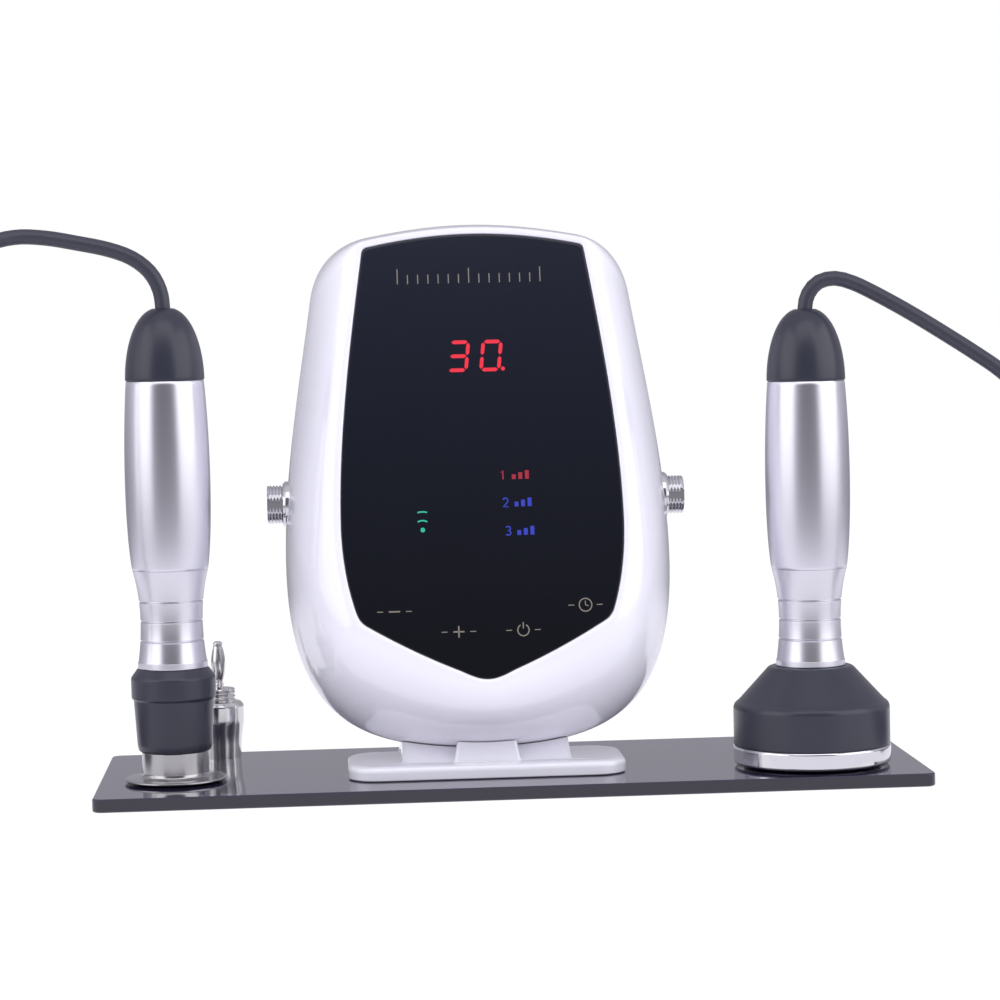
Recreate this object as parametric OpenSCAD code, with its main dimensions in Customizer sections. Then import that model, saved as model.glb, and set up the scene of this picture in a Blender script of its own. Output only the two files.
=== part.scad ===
// Facial toning console on a base plate, with two lift-off treatment handpieces and a spare probe.
// Millimetres, +Z up, the front faces -Y, the origin is the middle of the base plate's underside.

/* [Base plate] */
// Depth of the plate, front to back
plate_d = 94; // [90:1:120]
// Thickness of the plate
plate_t = 4; // [3:0.5:8]
// Corner radius of the plate
plate_r = 3.2; // [2:0.5:10]
// Left edge of the plate to the left handpiece's axis
left_margin = 23.5; // [20:0.5:40]
// Left handpiece's axis to the side of the console
left_clear = 35; // [30:0.5:60]
// Side of the console to the right handpiece's axis
right_clear = 40.5; // [36:0.5:60]
// Right handpiece's axis to the right edge of the plate
right_margin = 33; // [28:0.5:50]
// Front edge of the plate to the left handpiece's axis
left_front = 33; // [28:0.5:45]
// Front edge of the plate to the right handpiece's axis
right_front = 28.5; // [26:0.5:45]
// Left handpiece's axis to the spare probe's axis, sideways
spare_side = 12; // [6:0.5:16]
// Rear edge of the plate to the spare probe's axis
spare_rear = 10.5; // [9:0.5:16]

/* [Console] */
// Width of the console at its widest
console_w = 120; // [112:1:140]
// Height of the parting outline between the two shells
console_h = 162.4; // [155:0.1:180]
// Plate to the lowest point of the parting outline
console_lift = 6.5; // [5.5:0.1:8]
// Depth of the parting plane behind the middle of the plate
ring_y = 12; // [10:0.5:14]
// Backward lean of the parting plane, degrees
ring_lean = 10.2; // [8:0.1:12]
// Depth of the rear shell behind the parting plane
bulge = 20; // [19:0.5:24]
// Wall of both shells
wall = 2.5; // [2:0.1:3]
// Gap between the two shells at the parting line
seam = 0.2; // [0.1:0.05:0.4]

/* [Control panel] */
// Width of the panel
panel_w = 85.6; // [80:0.2:90]
// Height of the panel, measured upright
panel_h = 133.9; // [128:0.1:136]
// Plate to the panel's lower tip
panel_lift = 31.5; // [30:0.1:34]
// Panel plane in front of the middle of the plate, at the console's mid height
panel_out = 24.4; // [22:0.1:26]
// Backward lean of the panel, degrees
panel_lean = 15; // [13:0.1:16]
// Thickness of the smoked front panel
panel_t = 1.5; // [1:0.1:2.5]
// Thickness of the adhesive gasket behind the panel
gasket_t = 0.5; // [0.3:0.1:1]
// Width of the ledge that carries the gasket
ledge_w = 3; // [2:0.1:4]
// Width of the lip around the panel
lip_w = 1.6; // [1:0.1:2.5]
// Depth of the window frame between the ledge and the display board
frame_d = 5; // [4:0.1:7]
// Height of the lit digits
digit_h = 8.5; // [8:0.1:12]

/* [Side sockets] */
// Outer diameter of the socket's thread
thread_d = 12; // [11:0.1:13]
// How far the thread stands out of its nut
thread_out = 4.9; // [3:0.1:8]
// Outer diameter of the nut
nut_d = 14.4; // [14:0.1:17]
// Thickness of the nut
nut_t = 2.4; // [1.5:0.1:3]
// How far the nut stands out of the shell
nut_out = 1.2; // [0.8:0.1:2]
// Height of the socket's axis above the plate
socket_up = 82.5; // [70:0.5:95]

/* [Foot] */
// Width of the foot's slab
foot_w = 85; // [76:1:100]
// Depth of the foot's slab
foot_d = 37; // [36:0.5:44]
// Thickness of the foot's slab
foot_t = 4.5; // [4:0.1:5]
// Middle of the foot in front of the middle of the plate
foot_out = 12; // [10:0.5:14]
// Corner radius of the slab
foot_r = 9.5; // [6:0.5:12]
// Width of the neck between the slab and the console
neck_w = 51.5; // [42:1:60]

/* [Handpieces] */
// Length of the handle, from the head to the cap
handle_len = 87.5; // [80:0.5:110]
// Height of the joint between waist and barrel
waist_len = 30; // [26:0.5:36]
// Radius of the band at the handle's lower end
band_r = 10.6; // [10:0.1:12]
// Smallest radius of the waist
waist_r = 9.45; // [9.2:0.05:10.5]
// Radius where waist and barrel meet
split_r = 11.5; // [11:0.1:13]
// Largest radius of the barrel
belly_r = 12.9; // [12.4:0.1:15]
// Radius of the barrel's upper end
barrel_top_r = 11.8; // [11:0.1:13]
// Length of the cap
cap_len = 21.8; // [18:0.1:26]
// Wall of the barrel and the cap
handle_wall = 1.8; // [1.4:0.1:2.4]
// Diameter of the cord
cord_d = 4.6; // [4:0.1:5]

/* [Heads and pin coupling] */
// Radius of the heads' threaded spigot
spigot_r = 5.25; // [4.5:0.05:5.6]
// Height of the spigot
spigot_len = 4.2; // [3:0.1:5]
// Diameter of a contact pin in its socket
pin_d = 3.9; // [3.6:0.1:4.4]
// Spigot's top to the tip of the contact pin
pin_len = 15.2; // [12:0.1:17]
// Height of the small head
small_h = 35; // [30:0.5:40]
// Radius of the small head's steel disc
disc_r = 15.6; // [13.5:0.1:18]
// Height of the large head
large_h = 30.5; // [28:0.5:38]
// Radius of the large head
bell_r = 24; // [22:0.1:25]
// Height of the spare probe's body
probe_h = 18.1; // [14:0.1:24]
// Largest radius of the spare probe
probe_r = 7.86; // [7:0.02:9]

/* [Hidden] */
$fn = 64;

// Clearances
fit = 0.1;       // pieces that are pushed or screwed together
run = 0.05;      // pins that turn in their sockets
eps = 0.01;      // overshoot of a cut

// Plate and what stands on it
plate_w = left_margin + left_clear + console_w + right_clear + right_margin;
left_x = -plate_w / 2 + left_margin;
right_x = plate_w / 2 - right_margin;
console_x = left_x + left_clear + console_w / 2;
left_y = -plate_d / 2 + left_front;
right_y = -plate_d / 2 + right_front;
spare_x = left_x + spare_side;
spare_y = plate_d / 2 - spare_rear;

// Console: the two leaning planes and the half outlines, as Bezier control points from the top
// centre to the bottom centre, x in half widths and z in heights
ring_z0 = plate_t + console_lift;
mid_z = ring_z0 + console_h / 2;
panel_z0 = plate_t + panel_lift;
RING = [[[0, 1], [0.2, 1], [0.37, 0.99], [0.52, 0.98]],
        [[0.52, 0.98], [0.69, 0.97], [0.81, 0.93], [0.84, 0.86]],
        [[0.84, 0.86], [0.91, 0.69], [1, 0.53], [1, 0.355]],
        [[1, 0.355], [1, 0.05], [0.63, 0], [0, 0]]];
PANEL = [[[0, 1], [0.26, 1], [0.51, 0.99], [0.75, 0.974]],
         [[0.75, 0.974], [0.785, 0.972], [0.797, 0.968], [0.8, 0.959]],
         [[0.8, 0.959], [0.9, 0.757], [1, 0.541], [1, 0.347]],
         [[1, 0.347], [1, 0.276], [0.967, 0.209], [0.909, 0.153]],
         [[0.909, 0.153], [0.895, 0.14], [0.88, 0.13], [0.832, 0.121]],
         [[0.832, 0.121], [0.607, 0.079], [0.397, 0.046], [0.187, 0.019]],
         [[0.187, 0.019], [0.117, 0.008], [0.06, 0], [0, 0]]];
RING_STEPS = [5, 6, 8, 14];
PANEL_STEPS = [5, 6, 8, 5, 3, 4, 2];

// Places on the two leaning planes
recess_d = panel_t + gasket_t;               // depth of the panel's recess
board_depth = recess_d + frame_d;            // front of the display board, behind the panel plane
board_t = 1.6;
board_back = 8;                              // rear of the main board, behind the parting plane
boss_in = 5.2;                               // case screws, inside the parting outline
boss_r = 3.8;
screw_r = 1.5;
screw_head_r = 2.8;
screw_head_h = 2;
display_screw_r = 0.9;
pocket_y = bulge - wall - 1.2;               // floor of the pocket for switch and inlet
port_z = -46;                                // switch and inlet, up the parting plane
port_x = 14;
rocker_r = 7.3;                              // half length of the rocker, from its pivot
vent_count = 6;
vent_pitch = 6;
vent_z = 22;                                 // lowest vent, up the parting plane
vent_w = 30;                                 // width of the lowest vent
vent_h = 2.4;

// Side sockets
socket_z = plate_t + socket_up;
socket_y = ring_y_at(socket_z);
socket_x = ring_half(socket_z) + nut_out - nut_t;   // inner face of the nut
flange_t = 1.5;

// Handpieces and heads
band_h = 1.9;
jack_r = 3.2;
core_r = 7.1;
cord_hole_r = cord_d / 2 + fit;
small_top = plate_t + small_h;
large_top = plate_t + large_h;
foot_in_waist = spigot_len + fit;            // depth of the spigot's threaded bore
jack_len = pin_len + 4;
clamp_h = 8;

// Cords: hand-chosen routes of the part that isn't coiled, and the coils beyond them
cord_turn_r = 11 * cord_d / 2;               // middle of the coil's turns
coil_across = 3;                             // turns side by side
coil_layers = 2;
coil_x = 198;
coil_y = 15;
coil_out_r = cord_turn_r + coil_across * cord_d / 2;
plug_len = 35;
plug_nut_r = 7.4;
left_route = [[-102.5, -14, 128.5], [-102.5, -14, 139], [-102.5, -14, 148], [-103.3, -14, 154],
    [-106.2, -14, 159.5], [-111.5, -14, 163.8], [-118.5, -15, 166.5], [-127.5, -16, 168.5],
    [-137, -18, 170.2], [-146, -20, 170.5], [-154.5, -23, 168], [-161, -26, 161.5],
    [-165, -29, 153], [-167, -32, 143], [-168, -34, 131], [-168, -35, 119], [-168, -36, 106.5],
    [-168, -36, 94.5], [-168, -36, 82], [-168, -36, 70], [-168, -36, 58], [-168, -36, 46],
    [-168, -36, 34], [-168, -35, 23], [-168, -31, 13], [-168, -24, 6], [-168, -14, 3],
    [-168, -2, 2.5]];
right_route = [[93, -18.5, 124], [93, -18.5, 134], [93, -18.5, 143.5], [94.2, -18.5, 148.5],
    [97.5, -18.5, 152], [102.5, -18.5, 153], [108, -18.5, 151.5], [114, -19, 148.5],
    [121, -20, 144.5], [128, -21, 140.2], [136, -22, 135], [144, -24, 129.5], [152, -26, 123.5],
    [159, -29, 116], [164, -32, 107.5], [167, -34, 96.5], [168, -35, 86], [168, -36, 74],
    [168, -36, 62], [168, -36, 50], [168, -36, 38], [168, -35, 26], [168, -32, 15],
    [168, -25, 7], [168, -14, 3], [168, -2, 2.5]];

// ---------------------------------------------------------------- functions

function bez(p, t) = pow(1 - t, 3) * p[0] + 3 * pow(1 - t, 2) * t * p[1]
    + 3 * (1 - t) * t * t * p[2] + pow(t, 3) * p[3];

function curve(p, steps) = [for (i = [0:steps]) bez(p, i / steps)];

// Half outline of a list of Bezier pieces, and the closed outline with its mirror image
function half(shape, steps) = concat(
    [for (k = [0:len(shape) - 1], i = [0:steps[k] - 1]) bez(shape[k], i / steps[k])], [[0, 0]]);
function whole(h) = concat(h, [for (i = [len(h) - 2:-1:1]) [-h[i].x, h[i].y]]);
function sized(pts, half_w, z0, h) = [for (p = pts) [p.x * half_w, z0 + p.y * h]];

RING_LOOP = whole(half(RING, RING_STEPS));
PANEL_LOOP = whole(half(PANEL, PANEL_STEPS));

// Outlines moved inwards by d, as [x from the console's middle, z]
function ring_loop(d) = sized(RING_LOOP, console_w / 2 - d, ring_z0 + d, console_h - 2 * d);
function panel_loop(d) = sized(PANEL_LOOP, panel_w / 2 - d, panel_z0 + d, panel_h - 2 * d);
function ring_scaled(k, d) = sized(RING_LOOP, (console_w / 2 - d) * k,
    mid_z - (console_h / 2 - d) * k, (console_h - 2 * d) * k);

function ring_y_at(z) = ring_y + tan(ring_lean) * (z - mid_z);
function panel_y_at(z) = -panel_out + tan(panel_lean) * (z - mid_z);

// Half width of the parting outline at height z, on its way from the shoulder to the widest point
function ring_half(z) = let (v = (z - ring_z0) / console_h, side = curve(RING[2], 40))
    console_w / 2 * lookup(v, [for (i = [40:-1:0]) [side[i].y, side[i].x]]);

// Point of a panel outline, moved back by d square to the panel plane
function on_panel(p, d) =
    [console_x + p.x, panel_y_at(p.y) + d * cos(panel_lean), p.y - d * sin(panel_lean)];

// Quarter-round blend from the parting outline r to a panel outline p at depth d, at angle a
function blend(r, p, d, a) = let (s = 1 - cos(a), q = on_panel(p, d)) [
    (console_x + r.x) * (1 - s) + q.x * s,
    ring_y_at(r.y) + (q.y - ring_y_at(r.y)) * sin(a),
    r.y * (1 - s) + q.z * s];

// Ring of the rear bowl: angle a runs from the parting plane (0) to the back (90)
function bowl(a, d) = let (k = pow(cos(a), 0.55), out = (bulge - d) * pow(sin(a), 0.9))
    [for (p = ring_scaled(k, d)) [console_x + p.x, ring_y_at(p.y) + seam + out, p.y]];

function unit(v) = v / norm(v);
function tangent(p, i) = unit(p[min(i + 1, len(p) - 1)] - p[max(i - 1, 0)]);
function across(u, t) = unit(u - (u * t) * t);

// Side vectors carried along a route without twist
function sides(p) = [for (i = 0, u = across([0, 1, 0], tangent(p, 0)); i < len(p);
    i = i + 1, u = across(u, tangent(p, min(i, len(p) - 1)))) u];

// Local place of a point of the parting outline, in the frame of at_ring()
function in_ring_frame(p) = [p.x, 0, (p.y - mid_z) / cos(ring_lean)];
function up_panel(z) = (z - mid_z) / cos(panel_lean);

// ---------------------------------------------------------------- helpers

// Closed skin over a stack of equal rings: capped at both ends, or looped round to the first ring
module skin(rings, looped = false) {
    n = len(rings[0]);
    m = len(rings);
    faces = [for (i = [0:m - (looped ? 1 : 2)], j = [0:n - 1], k = [0, 1])
        let (a = i * n + j, b = i * n + (j + 1) % n,
             c = (i + 1) % m * n + (j + 1) % n, d = (i + 1) % m * n + j)
        k == 0 ? [a, b, c] : [a, c, d]];
    caps = looped ? [] : [[for (j = [n - 1:-1:0]) j], [for (j = [0:n - 1]) (m - 1) * n + j]];
    polyhedron([for (r = rings) each r], concat(faces, caps), convexity = 10);
}

module sweep(route, d, sides_n = 10) {
    u = sides(route);
    skin([for (i = [0:len(route) - 1]) let (t = tangent(route, i), v = cross(t, u[i]))
        [for (k = [0:sides_n - 1]) let (a = -360 * k / sides_n)
            route[i] + d / 2 * (cos(a) * u[i] + sin(a) * v)]]);
}

// Turned solid from [radius, height] points
module turned(pts) {
    rotate_extrude() polygon(pts);
}

module ring_solid(r_out, r_in, h) {
    difference() {
        cylinder(r = r_out, h = h);
        translate([0, 0, -eps]) cylinder(r = r_in, h = h + 2 * eps);
    }
}

module rounded_plate(w, d, r, h) {
    linear_extrude(h) union() {
        square([w - 2 * r, d], center = true);
        square([w, d - 2 * r], center = true);
        for (sx = [-1, 1], sy = [-1, 1]) translate([sx * (w / 2 - r), sy * (d / 2 - r)]) circle(r);
    }
}

// Frames of the parting plane (y away from the front) and of the panel plane
module at_ring() {
    translate([console_x, ring_y, mid_z]) rotate([-ring_lean, 0, 0]) children();
}
module at_panel() {
    translate([console_x, -panel_out, mid_z]) rotate([-panel_lean, 0, 0]) children();
}

// Sheet of an outline on the panel plane, from depth d to d + t
module panel_sheet(pts, d, t) {
    at_panel() translate([0, d + t, 0]) rotate([90, 0, 0])
        linear_extrude(t) polygon([for (p = pts) [p.x, up_panel(p.y)]]);
}

// Cylinder along +Y of the local frame
module rod_y(r, from, to) {
    translate([0, to, 0]) rotate([90, 0, 0]) cylinder(r = r, h = to - from);
}

// Outer form of the console, grown by g, as two closed solids
module front_solid(g = 0) {
    ring = ring_loop(-g);
    lip = panel_loop(-lip_w - g);
    skin([for (a = [0:15:90]) [for (j = [0:len(ring) - 1]) blend(ring[j], lip[j], -g, a)]]);
}
module rear_solid(g = 0) {
    skin([for (a = [84:-12:0]) bowl(a, -g)]);
}

// ---------------------------------------------------------------- base and foot

module base_plate() {
    color("#17161b") rounded_plate(plate_w, plate_d, plate_r, plate_t);
}

// Rounded rectangle ring of the foot, as points at height z
function pad(w, y0, y1, r, z) = [for (c = [[1, 1, 90], [1, -1, 0], [-1, -1, 270], [-1, 1, 180]],
    a = [0:18:90]) [console_x + c[0] * (w / 2 - r) + r * cos(c[2] - a),
                    (c[1] > 0 ? y1 - r : y0 + r) + r * sin(c[2] - a), z]];

foot_y0 = -foot_out - foot_d / 2;
foot_y1 = -foot_out + foot_d / 2;
foot_top = plate_t + foot_t;
neck_front = foot_y0 + 6;                    // neck's foot line, behind the slab's front edge
neck_back = ring_y;
neck_top = ring_z0 + 12;
neck_gap = 0.25;                             // between the neck and the console's underside
foot_screw_x = neck_w / 2 - 10.75;
foot_screw_y = neck_front + 14;
foot_boss_top = ring_z0 + 15;

module foot() {
    color("#eeedf2") difference() {
        union() {
            slab = [[0.7, 0], [0, 0.6], [0, foot_t - 1.6], [0.6, foot_t - 0.5], [1.8, foot_t]];
            skin([for (s = slab) pad(foot_w - 2 * s[0], foot_y0 + s[0], foot_y1 - s[0],
                                     foot_r - s[0], plate_t + s[1])]);
            difference() {
                union() {
                    neck();
                    buttress();
                }
                front_solid(neck_gap);
                rear_solid(neck_gap);
            }
        }
        for (s = [-1, 1]) translate([console_x + s * foot_screw_x, foot_screw_y, plate_t - eps]) {
            cylinder(r = screw_r + fit, h = neck_top);
            cylinder(r = screw_head_r + fit, h = screw_head_h + 1 + eps);
        }
    }
}

// Neck whose front hollows back as it rises
module neck() {
    skin([for (i = [0:5]) let (t = i / 5)
        pad(neck_w - 0.6 * t, neck_front + 15 * (1 - pow(1 - t, 2)), neck_back, 3,
            foot_top - 0.5 + (neck_top - foot_top) * t)]);
}

// Bevelled buttress in the middle of the neck's front
module buttress() {
    low_w = 20;
    high_w = 16.5;
    skin([for (s = [[low_w, 0, -0.5], [low_w - 1, 0.3, 2.5], [high_w, 1.2, 9], [high_w - 2, 3, 12]])
        pad(s[0], foot_y0 + 6 + s[1], neck_front + 12, 1.2, foot_top + s[2])]);
}

module foot_screws() {
    color("#8f9096") for (s = [-1, 1])
        translate([console_x + s * foot_screw_x, foot_screw_y, plate_t + 1]) {
            cylinder(r = screw_head_r, h = screw_head_h);
            cylinder(r = screw_r, h = foot_boss_top - plate_t - 3);
        }
}

// ---------------------------------------------------------------- console shells

module front_shell() {
    ring = ring_loop(0);
    ring_in = ring_loop(wall);
    lip = panel_loop(-lip_w);
    edge = panel_loop(0);
    frame_in = panel_loop(-1);
    window = panel_loop(ledge_w);
    color("#f1f0f5") difference() {
        union() {
            skin([for (j = [len(ring) - 1:-1:0]) concat(
                [for (a = [0:15:90]) blend(ring[j], lip[j], 0, a)],
                [on_panel(edge[j], 0), on_panel(edge[j], recess_d), on_panel(window[j], recess_d),
                 on_panel(window[j], board_depth)],
                [for (a = [90:-18:0]) blend(ring_in[j], frame_in[j], board_depth, a)])],
                looped = true);
            at_ring() for (p = case_bosses()) translate(p) rod_y(boss_r, -11, 0);
            for (s = [-1, 1]) translate([console_x + s * foot_screw_x, foot_screw_y, ring_z0 + wall - 0.5])
                cylinder(r = boss_r, h = foot_boss_top - ring_z0 - wall + 0.5);
        }
        at_ring() for (p = case_bosses()) translate(p) rod_y(screw_r, -10, eps);
        for (s = [-1, 1]) translate([console_x + s * foot_screw_x, foot_screw_y, 0])
            cylinder(r = screw_r, h = foot_boss_top - 1.5);
        socket_holes();
        screw_spots() rod_y(display_screw_r, board_depth - 3.5, board_depth + eps);
    }
}

// Four case screws, inside the parting outline
function case_bosses() = let (line = ring_loop(boss_in), n = len(line))
    [for (j = [9, 26, n - 26, n - 9]) in_ring_frame(line[j])];

// Through holes and sunk seats of the side sockets
socket_well = console_w / 6;                  // depth of the seat inside the case
socket_web = 1.3;                             // wall left between the nut and the flange
module socket_holes() {
    for (s = [-1, 1]) translate([console_x, socket_y, socket_z]) rotate([0, s * 90, 0]) {
        translate([0, 0, socket_x - socket_well]) cylinder(r = thread_d / 2 + fit, h = 2 * socket_well);
        translate([0, 0, socket_x - fit]) cylinder(r = nut_d / 2 + fit, h = socket_well);
        translate([0, 0, socket_x - socket_well]) cylinder(r = nut_d / 2 + fit, h = socket_well - socket_web);
    }
}

module rear_shell() {
    color("#eceaf0") difference() {
        union() {
            skin(concat([for (a = [84:-12:0]) bowl(a, 0)], [for (a = [0:12:84]) bowl(a, wall)]));
            intersection() {
                rear_solid();
                at_ring() {
                    for (p = case_bosses()) translate(p) rod_y(boss_r, seam, bulge);
                    for (p = board_posts()) translate(p) rod_y(boss_r, board_back, bulge);
                    translate([0, pocket_y - wall / 2, port_z]) cube([62, wall, 28], center = true);
                }
            }
        }
        at_ring() {
            for (p = case_bosses()) translate(p) {
                rod_y(screw_r + fit, 0, bulge);
                rod_y(screw_head_r + fit, 5, bulge + 2);
            }
            for (p = board_posts()) translate(p) rod_y(screw_r - 0.3, board_back - eps, board_back + 5);
            translate([0, pocket_y + 5, port_z]) cube([56, 10, 22], center = true);
            translate([port_x, pocket_y - 5, port_z]) cube([12 + 2 * fit, 14, 18 + 2 * fit], center = true);
            translate([-port_x, 0, port_z]) rod_y(5 + fit, 0, bulge);
            for (i = [0:vent_count - 1]) translate([0, bulge, vent_z + vent_pitch * i])
                vent(vent_w - 2 * i);
        }
        socket_holes();
    }
}

module vent(w) {
    cube([w, 4 * wall + 4, vent_h], center = true);
}

module case_screws() {
    color("#8f9096") at_ring() for (p = case_bosses()) translate(p) {
        rod_y(screw_head_r, 5 + fit, 5 + fit + screw_head_h);
        rod_y(screw_r - fit / 2, -8, 5 + 2 * fit);
    }
}

// ---------------------------------------------------------------- panel and display

module touch_panel() {
    color("#1d1e26") panel_sheet(panel_loop(fit), 0, panel_t);
}

module panel_gasket() {
    color("#3a3b40") difference() {
        panel_sheet(panel_loop(fit), panel_t, gasket_t);
        panel_sheet(panel_loop(ledge_w), panel_t - 1, gasket_t + 2);
    }
}

// Places of the four display screws, on the rear of the window frame
module screw_spots() {
    line = panel_loop(1.2);
    n = len(line);
    for (j = [12, 20, n - 20, n - 12]) at_panel()
        translate([line[j].x, 0, up_panel(line[j].y)]) children();
}

module display_board() {
    color("#1f5a3c") difference() {
        panel_sheet(panel_loop(0), board_depth, board_t);
        screw_spots() rod_y(display_screw_r + fit, board_depth - 1, board_depth + board_t + 1);
    }
}

module display_screws() {
    color("#9a9ba0") screw_spots() {
        rod_y(2 * display_screw_r, board_depth + board_t, board_depth + board_t + 1.2);
        rod_y(display_screw_r - fit / 2, board_depth - 3, board_depth + board_t);
    }
}

digit_rise = console_h * 0.787;               // middle of the digits, above the plate
digit_z = up_panel(plate_t + digit_rise);     // the same, up the panel
digit_w = 5.4;
digit_pitch = 9.4;
digit_front = recess_d + 0.6;

module digit_display() {
    color("#26262b") at_panel() translate([0, (digit_front + board_depth) / 2, digit_z])
        cube([27, board_depth - digit_front, digit_h + 6], center = true);
}

// Bar of a lit digit, from a to b in digit widths and heights, with slanted sides
module bar(a, b) {
    thick = 1;
    slant = 0.12;
    p = [a.x * digit_w, (a.y - 0.5) * digit_h];
    q = [b.x * digit_w, (b.y - 0.5) * digit_h];
    d = unit(q - p);
    n = [-d.y, d.x] * thick / 2;
    pts = [p + d * 0.2, p + d * 0.8 + n, q - d * 0.8 + n, q - d * 0.2, q - d * 0.8 - n, p + d * 0.8 - n];
    polygon([for (v = pts) [v.x + slant * v.y, v.y]]);
}

module lit_segments() {
    all = [[[0, 1], [1, 1]], [[1, 0.5], [1, 1]], [[1, 0], [1, 0.5]], [[0, 0], [1, 0]],
           [[0, 0], [0, 0.5]], [[0, 0.5], [0, 1]], [[0, 0.5], [1, 0.5]]];
    three = [0, 1, 2, 3, 6];
    zero = [0, 1, 2, 3, 4, 5];
    color("#f03a4f") at_panel() translate([0, digit_front, digit_z]) rotate([90, 0, 0])
        linear_extrude(0.3) {
            for (i = three) translate([-digit_pitch + 1, 0]) bar(all[i][0], all[i][1]);
            for (i = zero) translate([1, 0]) bar(all[i][0], all[i][1]);
        }
}

lamp_rows = [[10, 91.5], [10.5, 83.4], [11, 74.8], [-18, 78.8]];   // [x, height above the plate]
key_spots = [[-27.5, 51.9], [-8.4, 45.5], [11, 45.5], [30, 52.4]];

module indicator_lamps() {
    color("#e8e6da") for (l = lamp_rows) at_panel()
        translate([l[0], board_depth - 1.5, up_panel(plate_t + l[1])]) cube([7, 3, 3.4], center = true);
}

module key_springs() {
    color("#b9bbc0") for (k = key_spots) at_panel()
        translate([k[0], board_depth, up_panel(plate_t + k[1])]) rotate([90, 0, 0])
            ring_solid(2.6, 2.1, board_depth - panel_t);
}

// ---------------------------------------------------------------- main board

board_w = 74;
board_z0 = -30;
board_z1 = 52;
board_front = board_back - board_t;
function board_posts() = [for (s = [-1, 1], z = [board_z0 + 5, board_z1 - 5])
    [s * (board_w / 2 - 5), 0, z]];

module main_board() {
    color("#1f5a3c") at_ring() difference() {
        translate([-board_w / 2, board_front, board_z0]) cube([board_w, board_t, board_z1 - board_z0]);
        for (p = board_posts()) translate(p) rod_y(screw_r, board_front - 1, board_back + 1);
    }
}

module board_screws() {
    color("#9a9ba0") at_ring() for (p = board_posts()) translate(p) {
        rod_y(screw_head_r, board_front - 1.6, board_front);
        rod_y(screw_r - 0.3 - fit / 2, board_front, board_back + 4);
    }
}

// Block standing on the front of the main board, centred at x and z
module on_board(x, z, w, h, d) {
    translate([x - w / 2, board_front - d, z - h / 2]) cube([w, d, h]);
}

transformer_at = [-14, -2];                  // middle, across and up the board
transformer = [34, 28, 22];                  // width, height and depth
winding_slot = [20, 10, 4];
module rf_transformer() {
    color("#c9a227") at_ring() difference() {
        on_board(transformer_at.x, transformer_at.y, transformer.x, transformer.y, transformer.z);
        for (side = [-1, 1])
            translate([transformer_at.x, board_front - transformer.z, transformer_at.y + side * 8])
                cube(winding_slot, center = true);
    }
}

module heat_sink() {
    color("#a9abb0") at_ring() {
        on_board(22, 8, 4, 40, 24);
        for (i = [0:5]) on_board(29, -9 + 7 * i, 10, 2, 24);
    }
}

module power_transistors() {
    color("#222226") at_ring() for (z = [-2, 18]) on_board(17.5 - fit / 2, z, 5 - fit, 11, 16);
}

module filter_capacitors() {
    color("#2b3f6b") at_ring() for (x = [-24, -11, 2])
        translate([x, 0, 38]) rod_y(5, board_front - 18, board_front);
}

module buzzer() {
    color("#1b1b1e") at_ring() translate([22, 0, 42]) rotate([90, 0, 0])
        translate([0, 0, -board_front]) ring_solid(6.5, 1.2, 7);
}

// ---------------------------------------------------------------- switch and inlet

frame_w = 12;
frame_h = 18;
flange_y = pocket_y;                          // flanges lie on the pocket's floor
rocker_y = flange_y - 0.6;                    // pivot of the rocker
rocker_w = frame_w - 3;

module switch_frame() {
    color("#232327") at_ring() difference() {
        union() {
            translate([port_x, flange_y + 0.75, port_z]) cube([frame_w + 4, 1.5, frame_h + 3], center = true);
            translate([port_x, flange_y - 7, port_z]) cube([frame_w, 14, frame_h], center = true);
        }
        translate([port_x, flange_y - 3.5, port_z])
            cube([rocker_w + 4 * fit, 14, 2 * rocker_r + 6 * fit], center = true);
    }
}

module power_rocker() {
    color("#2c2c31") at_ring() translate([port_x, rocker_y, port_z]) rotate([-8, 0, 0])
        rotate([0, 90, 0]) translate([0, 0, -rocker_w / 2]) intersection() {
            cylinder(r = rocker_r, h = rocker_w);
            linear_extrude(rocker_w) polygon([[-rocker_r, 4], [0, 2.6], [rocker_r, 4],
                                              [rocker_r, -1], [2, -6], [-2, -6], [-rocker_r, -1]]);
        }
}

module dc_inlet() {
    color("#232327") at_ring() translate([-port_x, 0, port_z]) {
        difference() {
            union() {
                rod_y(5, flange_y - 13, flange_y + eps);
                rod_y(6.5, flange_y, flange_y + 1.4);
            }
            rod_y(2.8, flange_y - 9, flange_y + 2);
        }
        rod_y(1, flange_y - 9.5, flange_y);
    }
}

// ---------------------------------------------------------------- side sockets

module both_sides() {
    for (s = [-1, 1]) translate([console_x, socket_y, socket_z]) rotate([0, s * 90, 0]) children();
}

thread_end = socket_x + nut_t + thread_out;

// Thread as a row of ridges, cut into a tube by ring grooves
module thread_grooves(r, from, to) {
    for (z = [from:1:to - 0.7]) translate([0, 0, z])
        rotate_extrude() polygon([[r + 0.2, 0], [r + 0.2, 0.7], [r - 0.35, 0.5], [r - 0.35, 0.2]]);
}

module socket_shells() {
    color("#c9c8c6") both_sides() difference() {
        union() {
            translate([0, 0, socket_x - 10]) cylinder(r = thread_d / 2, h = thread_end - socket_x + 10);
            translate([0, 0, socket_x - socket_web - flange_t - fit]) cylinder(r = nut_d / 2 - fit, h = flange_t);
        }
        translate([0, 0, socket_x - 11]) cylinder(r = thread_d / 2 - 1.2, h = thread_end - socket_x + 12);
        thread_grooves(thread_d / 2, thread_end - thread_out + 0.3, thread_end - 0.6);
    }
}

module socket_nuts() {
    color("#d0cfcd") both_sides() translate([0, 0, socket_x]) difference() {
        turned([[0, 0], [nut_d / 2, 0], [nut_d / 2, nut_t - 0.4], [nut_d / 2 - 0.4, nut_t], [0, nut_t]]);
        translate([0, 0, -eps]) cylinder(r = thread_d / 2 + run, h = nut_t + 1);
    }
}

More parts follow.
